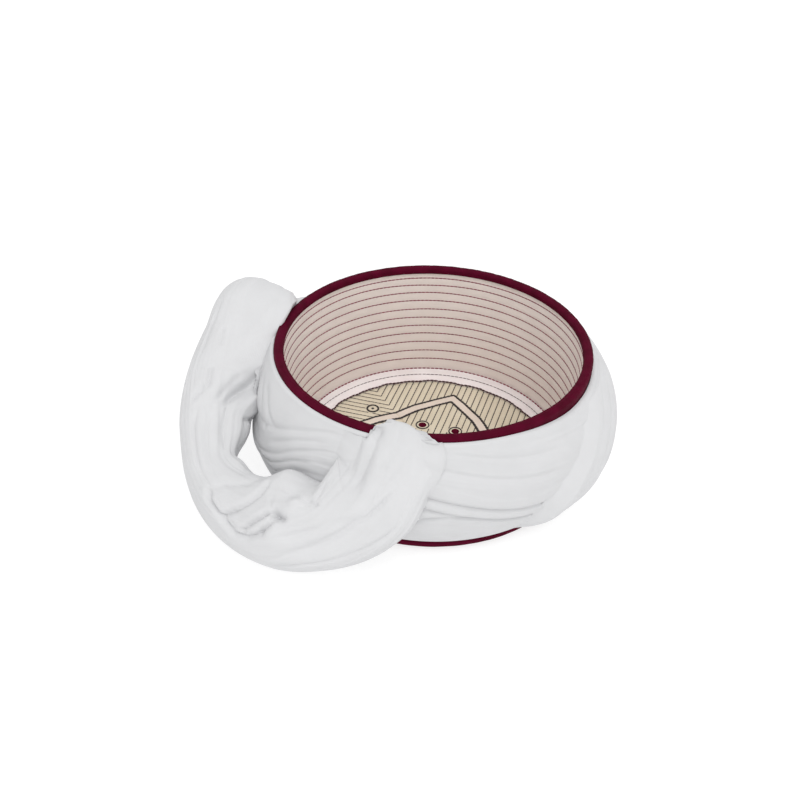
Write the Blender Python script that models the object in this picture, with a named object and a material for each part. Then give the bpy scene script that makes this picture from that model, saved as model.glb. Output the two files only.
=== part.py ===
"""A stiff quilted skullcap wound with a white turban, resting upside down on its crown.

Metres, +Z up. The origin is the centre of the crown on the surface it rests on. Azimuth is in degrees round Z
from the front (-Y), positive towards +X. The mouth of the cap opens upwards.
"""

import math
from collections import namedtuple

import bmesh
import bpy
from mathutils import Vector

MM = 0.001
GAP = 0.35 * MM

# Skullcap
CAP_HEIGHT = 83.0 * MM
WALL_FOOT_RADIUS = 85.6 * MM
WALL_TOP_RADIUS = 91.8 * MM
WALL_THICKNESS = 2.8 * MM
CROWN_THICKNESS = 2.6 * MM
CROWN_BEVEL = 0.5 * MM
PIPING_THICKNESS = 4.2 * MM
PIPING_LIFT = 0.3 * MM
PIPING_SIDES = 8
TAPE_RISE = 8.6 * MM
TAPE_WIDTH = 8.0 * MM
TAPE_THICKNESS = 1.0 * MM
BINDING_CLOTH = 0.9 * MM
BINDING_BULGE = 0.25 * MM
BINDING_ROUND = 0.7 * MM
BINDING_OUTER_DROP = 10.0 * MM
BINDING_INNER_DROP = 4.0 * MM

# Turban
WRAP_FOOT = 5.4 * MM
WRAP_THINNEST = 1.2 * MM
CROSS_EDGE = 0.9 * MM
CROSS_PLEATS = 4
CROSS_PLEAT_DEPTH = 0.9 * MM
TAIL_CLEARANCE = 0.5 * MM
TAIL_RIM_EASE = 0.4 * MM
TAIL_LIFT = 0.3 * MM
TAIL_PLEATS = 4
TAIL_PLEAT_DEPTH = 0.04
TAIL_SQUARENESS = 0.8

TURNED_STEPS = 64
WRAP_STEPS = 100
WRAP_ROWS = 18
CROSS_ROWS = WRAP_ROWS - 2
CROSS_COLUMNS = 12
TAIL_STEPS = 62
TAIL_SIDES = 20

# The outline of the wound cloth in section: share of its height, and radius.
WrapProfile = namedtuple("WrapProfile", "share radius")
WRAP_PROFILE = (
    WrapProfile(0.00, 87.6 * MM),
    WrapProfile(0.06, 93.0 * MM),
    WrapProfile(0.18, 99.0 * MM),
    WrapProfile(0.36, 103.6 * MM),
    WrapProfile(0.56, 105.0 * MM),
    WrapProfile(0.74, 103.4 * MM),
    WrapProfile(0.88, 99.6 * MM),
    WrapProfile(0.97, 96.2 * MM),
    WrapProfile(1.00, 95.3 * MM),
)

# Round the cap: how high the cloth's upper edge reaches, and how much fuller the winding is there.
WrapEdge = namedtuple("WrapEdge", "azimuth height swell")
WRAP_EDGE = (
    WrapEdge(-180.0, 77.0 * MM, 2.0 * MM),
    WrapEdge(-120.0, 79.0 * MM, 1.0 * MM),
    WrapEdge(-60.0, 80.5 * MM, 0.0 * MM),
    WrapEdge(0.0, 80.5 * MM, 0.0 * MM),
    WrapEdge(25.0, 80.0 * MM, 0.6 * MM),
    WrapEdge(40.0, 78.0 * MM, 1.2 * MM),
    WrapEdge(55.0, 76.0 * MM, 2.0 * MM),
    WrapEdge(90.0, 76.0 * MM, 3.0 * MM),
    WrapEdge(130.0, 77.0 * MM, 3.0 * MM),
    WrapEdge(180.0, 77.0 * MM, 2.0 * MM),
)

# Folds pressed into the wound cloth, each along a line from one end to the other.
Fold = namedtuple("Fold", "azimuth height end_azimuth end_height depth width")
WRAP_FOLDS = (
    Fold(-4.0, 67.0 * MM, 44.0, 57.0 * MM, 1.0 * MM, 4.0 * MM),
    Fold(-6.0, 51.0 * MM, 42.0, 32.0 * MM, 2.6 * MM, 4.2 * MM),
    Fold(-10.0, 38.0 * MM, 38.0, 22.0 * MM, 2.2 * MM, 4.2 * MM),
    Fold(-30.0, 73.0 * MM, -76.0, 56.0 * MM, 1.8 * MM, 4.0 * MM),
    Fold(-30.0, 60.0 * MM, -78.0, 44.0 * MM, 1.8 * MM, 4.0 * MM),
    Fold(-32.0, 48.0 * MM, -80.0, 32.0 * MM, 1.8 * MM, 4.0 * MM),
    Fold(100.0, 66.0 * MM, 262.0, 64.0 * MM, 1.8 * MM, 4.0 * MM),
    Fold(100.0, 52.0 * MM, 262.0, 52.0 * MM, 2.0 * MM, 4.0 * MM),
    Fold(96.0, 37.0 * MM, 270.0, 40.0 * MM, 2.0 * MM, 4.0 * MM),
    Fold(92.0, 23.0 * MM, 276.0, 27.0 * MM, 1.8 * MM, 4.0 * MM),
)

# The diagonal turn on the right: its front and back edges and its thickness at each share of the wound height.
CrossSection = namedtuple("CrossSection", "share front back thickness")
CROSS_TURN = (
    CrossSection(0.05, 29.5, 75.0, 4.0 * MM),
    CrossSection(0.14, 31.5, 78.0, 5.6 * MM),
    CrossSection(0.32, 35.5, 86.0, 5.4 * MM),
    CrossSection(0.50, 40.0, 97.0, 3.8 * MM),
    CrossSection(0.70, 46.0, 111.0, 2.4 * MM),
    CrossSection(0.85, 52.0, 124.0, 1.6 * MM),
    CrossSection(0.96, 58.5, 136.0, 1.0 * MM),
)

# The rolled tail, from its tuck inside the rim, down the front, round the left side and up to the back.
# Its half widths are towards the outside and the inside of the loop, and its half depth away from the cap.
# normal is the direction that its outer face looks: 0 outwards, 90 up, 180 inwards.
TailSection = namedtuple("TailSection", "step azimuth radius height half_outer half_inner half_depth normal")
TAIL_LOOP = (
    TailSection(0, -13.0, 85.2 * MM, 67.0 * MM, 22.0 * MM, 5.0 * MM, 1.1 * MM, 180.0),
    TailSection(1, -13.0, 85.2 * MM, 79.0 * MM, 24.0 * MM, 7.0 * MM, 1.5 * MM, 180.0),
    TailSection(2, -13.0, 90.6 * MM, 87.0 * MM, 26.0 * MM, 9.0 * MM, 2.4 * MM, 90.0),
    TailSection(3, -13.0, 98.6 * MM, 78.0 * MM, 27.5 * MM, 28.0 * MM, 3.0 * MM, 0.0),
    TailSection(4, -14.5, 106.0 * MM, 64.0 * MM, 28.0 * MM, 29.0 * MM, 6.0 * MM, 0.0),
    TailSection(5, -18.5, 112.0 * MM, 46.0 * MM, 26.5 * MM, 26.0 * MM, 11.0 * MM, 0.0),
    TailSection(6, -27.0, 115.5 * MM, 31.0 * MM, 24.5 * MM, 24.0 * MM, 18.0 * MM, 0.0),
    TailSection(7, -39.0, 121.5 * MM, 22.0 * MM, 22.0 * MM, 24.0 * MM, 26.0 * MM, 0.0),
    TailSection(8, -51.5, 130.0 * MM, 19.5 * MM, 19.5 * MM, 21.0 * MM, 24.5 * MM, 0.0),
    TailSection(9, -64.5, 136.0 * MM, 24.5 * MM, 20.0 * MM, 18.5 * MM, 20.0 * MM, 0.0),
    TailSection(10, -77.0, 131.5 * MM, 36.5 * MM, 20.0 * MM, 20.0 * MM, 21.5 * MM, 0.0),
    TailSection(11, -89.0, 127.0 * MM, 50.5 * MM, 22.5 * MM, 22.5 * MM, 22.5 * MM, 0.0),
    TailSection(12, -101.0, 121.0 * MM, 63.5 * MM, 22.5 * MM, 22.0 * MM, 19.5 * MM, 0.0),
    TailSection(13, -112.5, 119.0 * MM, 74.0 * MM, 20.0 * MM, 20.0 * MM, 16.5 * MM, 0.0),
    TailSection(14, -123.0, 114.0 * MM, 68.0 * MM, 15.0 * MM, 15.0 * MM, 10.5 * MM, 0.0),
    TailSection(15, -134.0, 109.5 * MM, 55.0 * MM, 11.0 * MM, 11.0 * MM, 6.5 * MM, 0.0),
    TailSection(16, -147.0, 107.5 * MM, 49.0 * MM, 8.5 * MM, 7.5 * MM, 4.5 * MM, 0.0),
    TailSection(17, -158.0, 105.5 * MM, 44.0 * MM, 4.0 * MM, 4.0 * MM, 2.0 * MM, 0.0),
)
TAIL_OVER_RIM = 2


def material(name, colour, roughness):
    """A plain cloth finish."""
    finish = bpy.data.materials.new(name)
    finish.use_nodes = True
    shader = finish.node_tree.nodes["Principled BSDF"]
    shader.inputs["Base Color"].default_value = (*colour, 1.0)
    shader.inputs["Roughness"].default_value = roughness
    shader.inputs["Metallic"].default_value = 0.0
    return finish


def blend(rows, key, value):
    """A field of the rows at a value of their first field, on a smooth curve through the table."""
    value = min(max(value, rows[0][0]), rows[-1][0])
    index = next((i for i in range(len(rows) - 1) if value <= rows[i + 1][0]), len(rows) - 2)
    low, high = rows[index], rows[index + 1]
    before, after = rows[max(index - 1, 0)], rows[min(index + 2, len(rows) - 1)]
    span = high[0] - low[0]
    share = (value - low[0]) / span
    start, end = getattr(low, key), getattr(high, key)
    slope_in = (end - getattr(before, key)) / (high[0] - before[0]) * span
    slope_out = (getattr(after, key) - start) / (after[0] - low[0]) * span
    square, cube = share**2, share**3
    return (
        (2 * cube - 3 * square + 1) * start
        + (cube - 2 * square + share) * slope_in
        + (3 * square - 2 * cube) * end
        + (cube - square) * slope_out
    )


def polar(azimuth, radius, height):
    """A point from its azimuth, its distance from the axis and its height."""
    angle = math.radians(azimuth)
    return Vector((radius * math.sin(angle), -radius * math.cos(angle), height))


def smooth_step(value):
    """0 below 0, 1 above 1, and a smooth rise between."""
    value = min(max(value, 0.0), 1.0)
    return value * value * (3 - 2 * value)


def hump(share):
    """0 at both ends of a span, 1 over most of its middle."""
    return 1 - (2 * share - 1) ** 4


def squared(value):
    """A sine or cosine that makes an ellipse slightly squarer."""
    return math.copysign(abs(value) ** TAIL_SQUARENESS, value)


def finished(name, bm, finish):
    """Makes a smooth-shaded object of a closed bmesh, with its faces pointing out."""
    bmesh.ops.recalc_face_normals(bm, faces=bm.faces)
    mesh = bpy.data.meshes.new(name)
    bm.to_mesh(mesh)
    bm.free()
    mesh.materials.append(finish)
    mesh.shade_smooth()
    mesh.set_sharp_from_angle(angle=math.radians(50))
    obj = bpy.data.objects.new(name, mesh)
    bpy.context.scene.collection.objects.link(obj)
    return obj


def turned(name, outline, finish):
    """A ring turned about Z from a closed outline of (radius, height) points."""
    bm = bmesh.new()
    verts = [bm.verts.new((radius, 0.0, height)) for radius, height in outline]
    edges = [bm.edges.new((verts[i - 1], verts[i])) for i in range(len(verts))]
    bmesh.ops.spin(
        bm,
        geom=verts + edges,
        cent=(0, 0, 0),
        axis=(0, 0, 1),
        angle=math.tau,
        steps=TURNED_STEPS,
        use_merge=True,
    )
    bmesh.ops.remove_doubles(bm, verts=bm.verts, dist=0.01 * MM)
    return finished(name, bm, finish)


def rolled(name, place, along, around, finish):
    """A flat grid rolled into a closed solid, with any open ends filled.

    place(step, side) gives the point of each step along the piece and each side round its section.
    """
    bm = bmesh.new()
    bmesh.ops.create_grid(bm, x_segments=along, y_segments=around, size=0.5)
    for vert in bm.verts:
        step, side = round((vert.co.x + 0.5) * along), round((vert.co.y + 0.5) * around)
        vert.co = place(step, side % around)
    bmesh.ops.remove_doubles(bm, verts=bm.verts, dist=0.01 * MM)
    open_edges = [edge for edge in bm.edges if edge.is_boundary]
    if open_edges:
        bmesh.ops.holes_fill(bm, edges=open_edges, sides=0)
        bmesh.ops.triangulate(bm, faces=[face for face in bm.faces if len(face.verts) > 4])
    return finished(name, bm, finish)


def wall_radius(height):
    """The outer radius of the cap's tapered wall."""
    return WALL_FOOT_RADIUS + (WALL_TOP_RADIUS - WALL_FOOT_RADIUS) * height / CAP_HEIGHT


def crown_radius():
    """The crown ends at the middle of the wall's thickness, where the piping is sewn."""
    return WALL_FOOT_RADIUS - WALL_THICKNESS / 2 - PIPING_THICKNESS / 2


def make_crown(finish):
    """The flat top panel, which the cap rests on here."""
    bm = bmesh.new()
    bmesh.ops.create_cone(
        bm,
        cap_ends=True,
        segments=TURNED_STEPS,
        radius1=crown_radius(),
        radius2=crown_radius(),
        depth=CROWN_THICKNESS,
    )
    bmesh.ops.translate(bm, verts=bm.verts, vec=(0, 0, CROWN_THICKNESS / 2))
    rims = [edge for edge in bm.edges if abs(edge.verts[0].co.z - edge.verts[1].co.z) < CROWN_BEVEL]
    bmesh.ops.bevel(
        bm, geom=rims, offset=CROWN_BEVEL, segments=1, profile=0.5, affect="EDGES", material=-1
    )
    return finished("crown", bm, finish)


def make_crown_piping(finish):
    """The round cord sewn into the seam between crown and wall."""
    half = PIPING_THICKNESS / 2
    centre = crown_radius() + GAP + half
    turns = [math.tau * i / PIPING_SIDES for i in range(PIPING_SIDES)]
    outline = [
        (centre + half * math.cos(turn), PIPING_LIFT + half + half * math.sin(turn)) for turn in turns
    ]
    return turned("crown_piping", outline, finish)


def make_wall(finish):
    """The stiff tapered side of the cap, open at both ends."""
    foot = PIPING_LIFT + PIPING_THICKNESS + GAP
    top = CAP_HEIGHT - BINDING_CLOTH - GAP
    outline = [
        (wall_radius(foot), foot),
        (wall_radius(top), top),
        (wall_radius(top) - WALL_THICKNESS, top),
        (wall_radius(foot) - WALL_THICKNESS, foot),
    ]
    return turned("cap_wall", outline, finish)


def make_crown_tape(finish):
    """The strip sewn over the seam inside the cap, curved from the wall down to the crown."""
    floor = CROWN_THICKNESS + GAP
    outer = wall_radius(floor + TAPE_RISE) - WALL_THICKNESS - GAP
    inner = outer - TAPE_WIDTH
    outline = [
        (inner, floor),
        (crown_radius() - 2 * TAPE_THICKNESS, floor),
        (crown_radius() + 0.5 * TAPE_THICKNESS, floor + 2 * TAPE_THICKNESS + GAP),
        (outer, floor + TAPE_RISE),
        (outer - TAPE_THICKNESS, floor + TAPE_RISE),
        (crown_radius() - 1.2 * TAPE_THICKNESS, floor + 3 * TAPE_THICKNESS),
        (inner, floor + TAPE_THICKNESS),
    ]
    return turned("crown_tape", outline, finish)


def make_rim_binding(finish):
    """The cloth folded over the mouth of the cap."""
    top, shelf = CAP_HEIGHT, CAP_HEIGHT - BINDING_CLOTH
    outer_low, inner_low = top - BINDING_OUTER_DROP, top - BINDING_INNER_DROP
    skin = BINDING_CLOTH + GAP
    outer = wall_radius(top) + skin
    inner = wall_radius(top) - WALL_THICKNESS - skin
    outline = [
        (wall_radius(outer_low) + skin, outer_low),
        (outer + BINDING_BULGE, top - 3 * MM),
        (outer - BINDING_ROUND, top - BINDING_ROUND / 2),
        ((outer + inner) / 2, top + BINDING_BULGE),
        (inner + BINDING_ROUND, top - BINDING_ROUND / 2),
        (inner - BINDING_BULGE, top - 2 * MM),
        (wall_radius(inner_low) - WALL_THICKNESS - skin, inner_low),
        (wall_radius(inner_low) - WALL_THICKNESS - GAP, inner_low),
        (wall_radius(shelf) - WALL_THICKNESS - GAP, shelf),
        (wall_radius(shelf) + GAP, shelf),
        (wall_radius(outer_low) + GAP, outer_low),
    ]
    return turned("rim_binding", outline, finish)


def half_turn(azimuth):
    """The same azimuth between -180 and 180."""
    return (azimuth + 180.0) % 360.0 - 180.0


def wrap_edge(azimuth):
    """How high the wound cloth reaches at an azimuth."""
    return blend(WRAP_EDGE, "height", half_turn(azimuth))


def wrap_share(azimuth, height):
    """A height as a share of the wound cloth's own height there."""
    return (height - WRAP_FOOT) / (wrap_edge(azimuth) - WRAP_FOOT)


def wrap_radius(azimuth, share):
    """The outer radius of the wound cloth before its folds are pressed in."""
    swell = blend(WRAP_EDGE, "swell", half_turn(azimuth))
    share = min(max(share, 0.0), 1.0)
    return blend(WRAP_PROFILE, "radius", share) + swell * 4 * share * (1 - share)


def lining_radius(azimuth, share):
    """The radius of the wound cloth's inner face, which lies on the wall below and on the binding above."""
    height = WRAP_FOOT + share * (wrap_edge(azimuth) - WRAP_FOOT)
    return wall_radius(height) + GAP + share * (BINDING_CLOTH + BINDING_BULGE + GAP)


def fold_depth(azimuth, height, radius):
    """How deep the folds press the wound cloth in at a point of its surface."""
    total = 0.0
    for fold in WRAP_FOLDS:
        middle = (fold.azimuth + fold.end_azimuth) / 2
        offset = half_turn(azimuth - middle) + middle - fold.azimuth
        here = Vector((math.radians(offset) * radius, height - fold.height))
        run = Vector(
            (math.radians(fold.end_azimuth - fold.azimuth) * radius, fold.end_height - fold.height)
        )
        along = here.dot(run) / run.length_squared
        across = (here.x * run.y - here.y * run.x) / run.length
        ends = smooth_step(8 * along) * smooth_step(8 * (1 - along))
        total += fold.depth * ends * math.exp(-((across / fold.width) ** 2))
    return total


def make_wraps(finish):
    """The main turns of the turban: one wound body round the wall, with its folds pressed in."""

    def place(step, side):
        azimuth = -180.0 + 360.0 * step / WRAP_STEPS
        if side > WRAP_ROWS:
            share = 1.0 if side == WRAP_ROWS + 1 else 0.0
            radius = lining_radius(azimuth, share)
        else:
            share = side / WRAP_ROWS
            radius = wrap_radius(azimuth, share)
        height = WRAP_FOOT + share * (wrap_edge(azimuth) - WRAP_FOOT)
        if 0 < side < WRAP_ROWS:
            radius -= fold_depth(azimuth, height, radius) * hump(share)
            radius = max(radius, lining_radius(azimuth, share) + WRAP_THINNEST)
        return polar(azimuth, radius, height)

    return rolled("turban_wraps", place, WRAP_STEPS, WRAP_ROWS + 3, finish)


def make_cross_turn(finish):
    """The diagonal turn laid over the main ones on the right, pleated along its length."""

    def place(step, side):
        share = (step + 1) / WRAP_ROWS
        on_top = side <= CROSS_COLUMNS
        across = side / CROSS_COLUMNS if on_top else (2 * CROSS_COLUMNS + 1 - side) / CROSS_COLUMNS
        front, back = blend(CROSS_TURN, "front", share), blend(CROSS_TURN, "back", share)
        azimuth = front + across * (back - front)
        height = WRAP_FOOT + share * (wrap_edge(azimuth) - WRAP_FOOT)
        radius = wrap_radius(azimuth, share) + GAP
        if on_top:
            pleat = CROSS_PLEAT_DEPTH * math.cos(math.tau * CROSS_PLEATS * across)
            radius += CROSS_EDGE + (blend(CROSS_TURN, "thickness", share) - CROSS_EDGE + pleat) * hump(across)
        return polar(azimuth, radius, height)

    return rolled("cross_turn", place, CROSS_ROWS, 2 * CROSS_COLUMNS + 2, finish)


def tail_centre(step):
    """The middle of the rolled tail at a step of its table: run round the cap, radius and height."""
    radius = blend(TAIL_LOOP, "radius", step)
    return Vector(
        (math.radians(blend(TAIL_LOOP, "azimuth", step)) * radius, radius, blend(TAIL_LOOP, "height", step))
    )


def clear_of_rim(radius, height):
    """Moves a point of the tail out of the rounded rim of the cap."""
    middle = wall_radius(CAP_HEIGHT) - WALL_THICKNESS / 2
    clearance = BINDING_BULGE + TAIL_CLEARANCE + TAIL_RIM_EASE
    half = WALL_THICKNESS / 2 + BINDING_CLOTH + GAP + clearance
    across, above = radius - middle, max(height - (CAP_HEIGHT + clearance - half), 0.0)
    reach = math.hypot(across, above)
    if reach >= half:
        return radius, height
    if above == 0.0:
        return middle + math.copysign(half, across), height
    return middle + across * half / reach, height + above * (half / reach - 1)


def clear_of_wraps(azimuth, radius, height):
    """Moves a point of the tail's outer stretch off the wound cloth, and over its upper edge."""
    share = wrap_share(azimuth, height)
    if share <= 1.0:
        return max(radius, wrap_radius(azimuth, share) + TAIL_CLEARANCE)
    above = height - wrap_edge(azimuth)
    return max(radius, wrap_radius(azimuth, 1.0) + TAIL_CLEARANCE - above / 2)


def make_tail_loop(finish):
    """The loose roll of cloth, swept through the sections of its table and pleated lengthwise."""
    last = TAIL_LOOP[-1].step
    nudge = 0.02

    def place(index, side):
        step = last * index / TAIL_STEPS
        run = (tail_centre(min(step + nudge, last)) - tail_centre(max(step - nudge, 0))).normalized()
        look = math.radians(blend(TAIL_LOOP, "normal", step))
        face = Vector((0.0, math.cos(look), math.sin(look)))
        face = (face - face.dot(run) * run).normalized()
        turn = math.tau * side / TAIL_SIDES
        pleat = 1 - TAIL_PLEAT_DEPTH * (1 - math.cos(2 * TAIL_PLEATS * turn)) / 2
        half_width = blend(TAIL_LOOP, "half_outer" if math.cos(turn) > 0 else "half_inner", step)
        offset = run.cross(face) * half_width * squared(math.cos(turn)) * pleat
        offset += face * blend(TAIL_LOOP, "half_depth", step) * squared(math.sin(turn)) * pleat
        middle = blend(TAIL_LOOP, "radius", step)
        azimuth = blend(TAIL_LOOP, "azimuth", step) + math.degrees(offset.x / middle)
        radius, height = clear_of_rim(middle + offset.y, blend(TAIL_LOOP, "height", step) + offset.z)
        if step > TAIL_OVER_RIM:
            radius = clear_of_wraps(azimuth, radius, height)
        return polar(azimuth, radius, max(height, TAIL_LIFT))

    return rolled("tail_loop", place, TAIL_STEPS, TAIL_SIDES, finish)


def main():
    for obj in list(bpy.data.objects):
        bpy.data.objects.remove(obj)
    white = material("turban_cloth", (0.86, 0.87, 0.89), 0.85)
    maroon = material("maroon_binding", (0.13, 0.006, 0.03), 0.7)
    make_crown(material("crown_lining", (0.45, 0.38, 0.27), 0.85))
    make_wall(material("wall_lining", (0.63, 0.55, 0.50), 0.85))
    make_crown_tape(material("seam_tape", (0.86, 0.72, 0.70), 0.8))
    make_crown_piping(maroon)
    make_rim_binding(maroon)
    make_wraps(white)
    make_cross_turn(white)
    make_tail_loop(white)


main()
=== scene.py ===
"""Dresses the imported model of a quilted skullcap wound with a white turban.

Metres, +Z up. The cap rests upside down on its crown, whose centre is the origin. Azimuth is in degrees round
Z from the front (-Y), positive towards +X. Sizes in the tables are in millimetres.
"""

import logging
import math
from collections.abc import Callable, Sequence
from dataclasses import dataclass, field
from enum import Enum
from typing import NamedTuple

import bmesh
import bpy
import numpy as np
from mathutils import Matrix, Vector


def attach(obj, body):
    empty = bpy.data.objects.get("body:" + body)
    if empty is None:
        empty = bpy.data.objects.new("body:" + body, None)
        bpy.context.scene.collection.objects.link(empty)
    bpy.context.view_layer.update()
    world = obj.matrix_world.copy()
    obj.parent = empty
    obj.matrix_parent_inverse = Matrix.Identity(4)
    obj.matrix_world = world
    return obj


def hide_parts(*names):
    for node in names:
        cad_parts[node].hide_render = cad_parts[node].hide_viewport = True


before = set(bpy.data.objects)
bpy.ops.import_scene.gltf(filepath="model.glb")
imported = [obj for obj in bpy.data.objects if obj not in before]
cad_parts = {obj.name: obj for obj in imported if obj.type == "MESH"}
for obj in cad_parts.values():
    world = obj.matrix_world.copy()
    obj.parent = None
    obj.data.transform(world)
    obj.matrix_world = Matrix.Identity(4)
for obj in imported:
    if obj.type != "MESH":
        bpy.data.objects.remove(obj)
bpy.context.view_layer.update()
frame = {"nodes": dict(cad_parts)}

logger = logging.getLogger("turban")

MM = 0.001
MERGE_DISTANCE = 0.005 * MM
UV_NAME = "cloth"

Place = Callable[[np.ndarray, np.ndarray], np.ndarray]
Path2D = tuple[tuple[float, float], ...]
Colour = tuple[float, float, float]


# Numbers shared by the pieces


def smooth_step(value: np.ndarray) -> np.ndarray:
    """Gives 0 below 0, 1 above 1 and a smooth rise between."""
    value = np.clip(value, 0.0, 1.0)
    return value * value * (3 - 2 * value)


def hump(share: np.ndarray) -> np.ndarray:
    """Gives 0 at both ends of a span and 1 over most of its middle."""
    return 1 - (2 * share - 1) ** 4


def half_turn(azimuth: np.ndarray) -> np.ndarray:
    """Gives the same azimuth between -180 and 180."""
    return (azimuth + 180.0) % 360.0 - 180.0


def polar(azimuth: np.ndarray, radius: np.ndarray, height: np.ndarray) -> np.ndarray:
    """Turns azimuth, radius and height in millimetres into points in metres.

    Args:
        azimuth: Degrees round Z from the front.
        radius: Distance from the axis.
        height: Height over the floor.

    Returns:
        One row of x, y and z for each point.
    """
    angle = np.radians(azimuth)
    return np.stack([radius * np.sin(angle), -radius * np.cos(angle), height], axis=-1) * MM


def run_lengths(outline: np.ndarray) -> np.ndarray:
    """Gives how far along an outline each of its points lies."""
    return np.concatenate([[0], np.cumsum(np.hypot(*np.diff(outline, axis=0).T))])


class Span(NamedTuple):
    """A stretch with soft ends: it rises after its start and falls before its end."""

    start: float
    rise: float
    end: float
    fall: float

    def at(self, value: np.ndarray) -> np.ndarray:
        """Gives 1 inside the stretch, 0 outside it and a smooth slope at both ends."""
        return smooth_step((value - self.start) / self.rise) * smooth_step((self.end - value) / self.fall)


class SmoothTable:
    """A smooth curve through the rows of a table, read by the value of the rows' first field."""

    def __init__(self, rows: Sequence[NamedTuple]) -> None:
        """Keeps the columns of the rows.

        Args:
            rows: Rows of one named tuple type, in rising order of the first field.
        """
        self.fields = rows[0]._fields
        self.columns = np.array(rows, dtype=float)

    def read(self, name: str, value: np.ndarray) -> np.ndarray:
        """Reads a field between the rows.

        Args:
            name: The field.
            value: Where to read it, in units of the first field.

        Returns:
            The field at each value.
        """
        keys, data = self.columns[:, 0], self.columns[:, self.fields.index(name)]
        last = len(keys) - 1
        value = np.clip(value, keys[0], keys[-1])
        low = np.clip(np.searchsorted(keys, value, side="left") - 1, 0, last - 1)
        high = low + 1
        before, after = np.maximum(low - 1, 0), np.minimum(low + 2, last)
        span = keys[high] - keys[low]
        share = (value - keys[low]) / span
        slope_in = (data[high] - data[before]) / (keys[high] - keys[before]) * span
        slope_out = (data[after] - data[low]) / (keys[after] - keys[low]) * span
        square, cube = share**2, share**3
        return (
            (2 * cube - 3 * square + 1) * data[low]
            + (cube - 2 * square + share) * slope_in
            + (3 * square - 2 * cube) * data[high]
            + (cube - square) * slope_out
        )


class Waver:
    """Smooth seeded unevenness over a flat space, between -1 and 1."""

    CELLS = 64

    def __init__(self, seed: int) -> None:
        """Draws the values at the corners of the cells.

        Args:
            seed: Picks the pattern.
        """
        self.corners = np.random.default_rng(seed).uniform(-1, 1, (self.CELLS, self.CELLS))

    def at(self, along: np.ndarray, across: np.ndarray) -> np.ndarray:
        """Reads the unevenness.

        Args:
            along: First coordinate, one cell to a unit. It repeats after CELLS units.
            across: Second coordinate.

        Returns:
            The value at each point.
        """
        along, across = np.broadcast_arrays(along, across)
        column, row = np.floor(along).astype(int), np.floor(across).astype(int)
        right, up = smooth_step(along - column), smooth_step(across - row)
        here, there = column % self.CELLS, (column + 1) % self.CELLS
        low, high = row % self.CELLS, (row + 1) % self.CELLS
        bottom = self.corners[here, low] * (1 - right) + self.corners[there, low] * right
        top = self.corners[here, high] * (1 - right) + self.corners[there, high] * right
        return bottom * (1 - up) + top * up


@dataclass(frozen=True)
class PleatRun:
    """Pleats that lie side by side, each lapping over the next as in gathered cloth."""

    seed: int
    span: float
    narrowest: float
    widest: float
    depth: float
    softness: float = 0.35
    lap: float = 0.16
    fine: float = 0.1
    lowest: float = 0.45
    fullness: float = 0.7
    long_bend: float = 1.3
    short_bend: float = 0.45
    fading: float = 0.38

    def relief(self, across: np.ndarray, along: np.ndarray) -> np.ndarray:
        """Gives how far the pleats stand out.

        Args:
            across: Millimetres across the pleats.
            along: Millimetres along them.

        Returns:
            Millimetres above the deepest crease.
        """
        random = np.random.default_rng(self.seed)
        line = np.arange(-self.widest, self.span + self.widest, self.fine)
        edges = [line[0]]
        while edges[-1] < line[-1]:
            edges.append(edges[-1] + random.uniform(self.narrowest, self.widest))
        edge = np.array(edges)
        index = np.clip(np.searchsorted(edge, line, side="right") - 1, 0, len(edge) - 2)
        share = (line - edge[index]) / (edge[index + 1] - edge[index])
        height = random.uniform(self.lowest, 1.0, len(edge))[index]
        shape = height * share**self.fullness * (1 - smooth_step((share - 1 + self.lap) / self.lap))
        reach = np.arange(-4 * self.softness, 4 * self.softness + self.fine, self.fine)
        weights = np.exp(-((reach / self.softness) ** 2))
        shape = np.convolve(shape, weights / weights.sum(), mode="same")
        bend, fade = Waver(self.seed + 1), Waver(self.seed + 2)
        moved = across + self.long_bend * bend.at(along / 42, across / 17)
        moved = moved + self.short_bend * bend.at(along / 13, across / 7)
        strength = 1 - self.fading + self.fading * fade.at(along / 55, across / 6)
        return self.depth * strength * np.interp(moved, line, shape)


class Crease(NamedTuple):
    """A crease pressed along a path in a flat space.

    Where lip is above 0, the cloth on the left of the path laps over it. Where lip is below 0, the cloth on the
    right does.
    """

    path: Path2D
    depth: float
    width: float
    lip: float = 0.0
    ends: float = 0.2
    reach: float = 6.0

    def scaled(self, along: float, across: float) -> "Crease":
        """Gives the same crease in another unit along each axis."""
        return self._replace(path=tuple((x * along, y * across) for x, y in self.path))

    def relief(self, along: np.ndarray, across: np.ndarray) -> np.ndarray:
        """Gives how far the crease moves a surface.

        Args:
            along: First coordinate of each point, in millimetres.
            across: Second coordinate of each point.

        Returns:
            Millimetres out of the surface, negative in the crease.
        """
        nearest = np.full(along.shape, 1e6)
        side, spot = np.zeros_like(nearest), np.zeros_like(nearest)
        passed = 0.0
        for start, end in zip(self.path[:-1], self.path[1:]):
            run = np.subtract(end, start)
            length = float(np.hypot(*run))
            x, y = along - start[0], across - start[1]
            share = np.clip((x * run[0] + y * run[1]) / length**2, 0, 1)
            away = np.hypot(x - share * run[0], y - share * run[1])
            closer = away < nearest
            nearest = np.where(closer, away, nearest)
            side = np.where(closer, np.sign(run[0] * y - run[1] * x), side)
            spot = np.where(closer, passed + share * length, spot)
            passed += length
        fade = smooth_step(spot / passed / self.ends) * smooth_step((1 - spot / passed) / self.ends)
        lipped = side * math.copysign(1.0, self.lip) * nearest
        raised = smooth_step(lipped / self.width + 0.5) * np.exp(-np.maximum(lipped, 0) / self.reach)
        raised *= np.exp(-((nearest / (3 * self.reach)) ** 2))
        return fade * (abs(self.lip) * raised - self.depth * np.exp(-((nearest / self.width) ** 1.7)))


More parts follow.
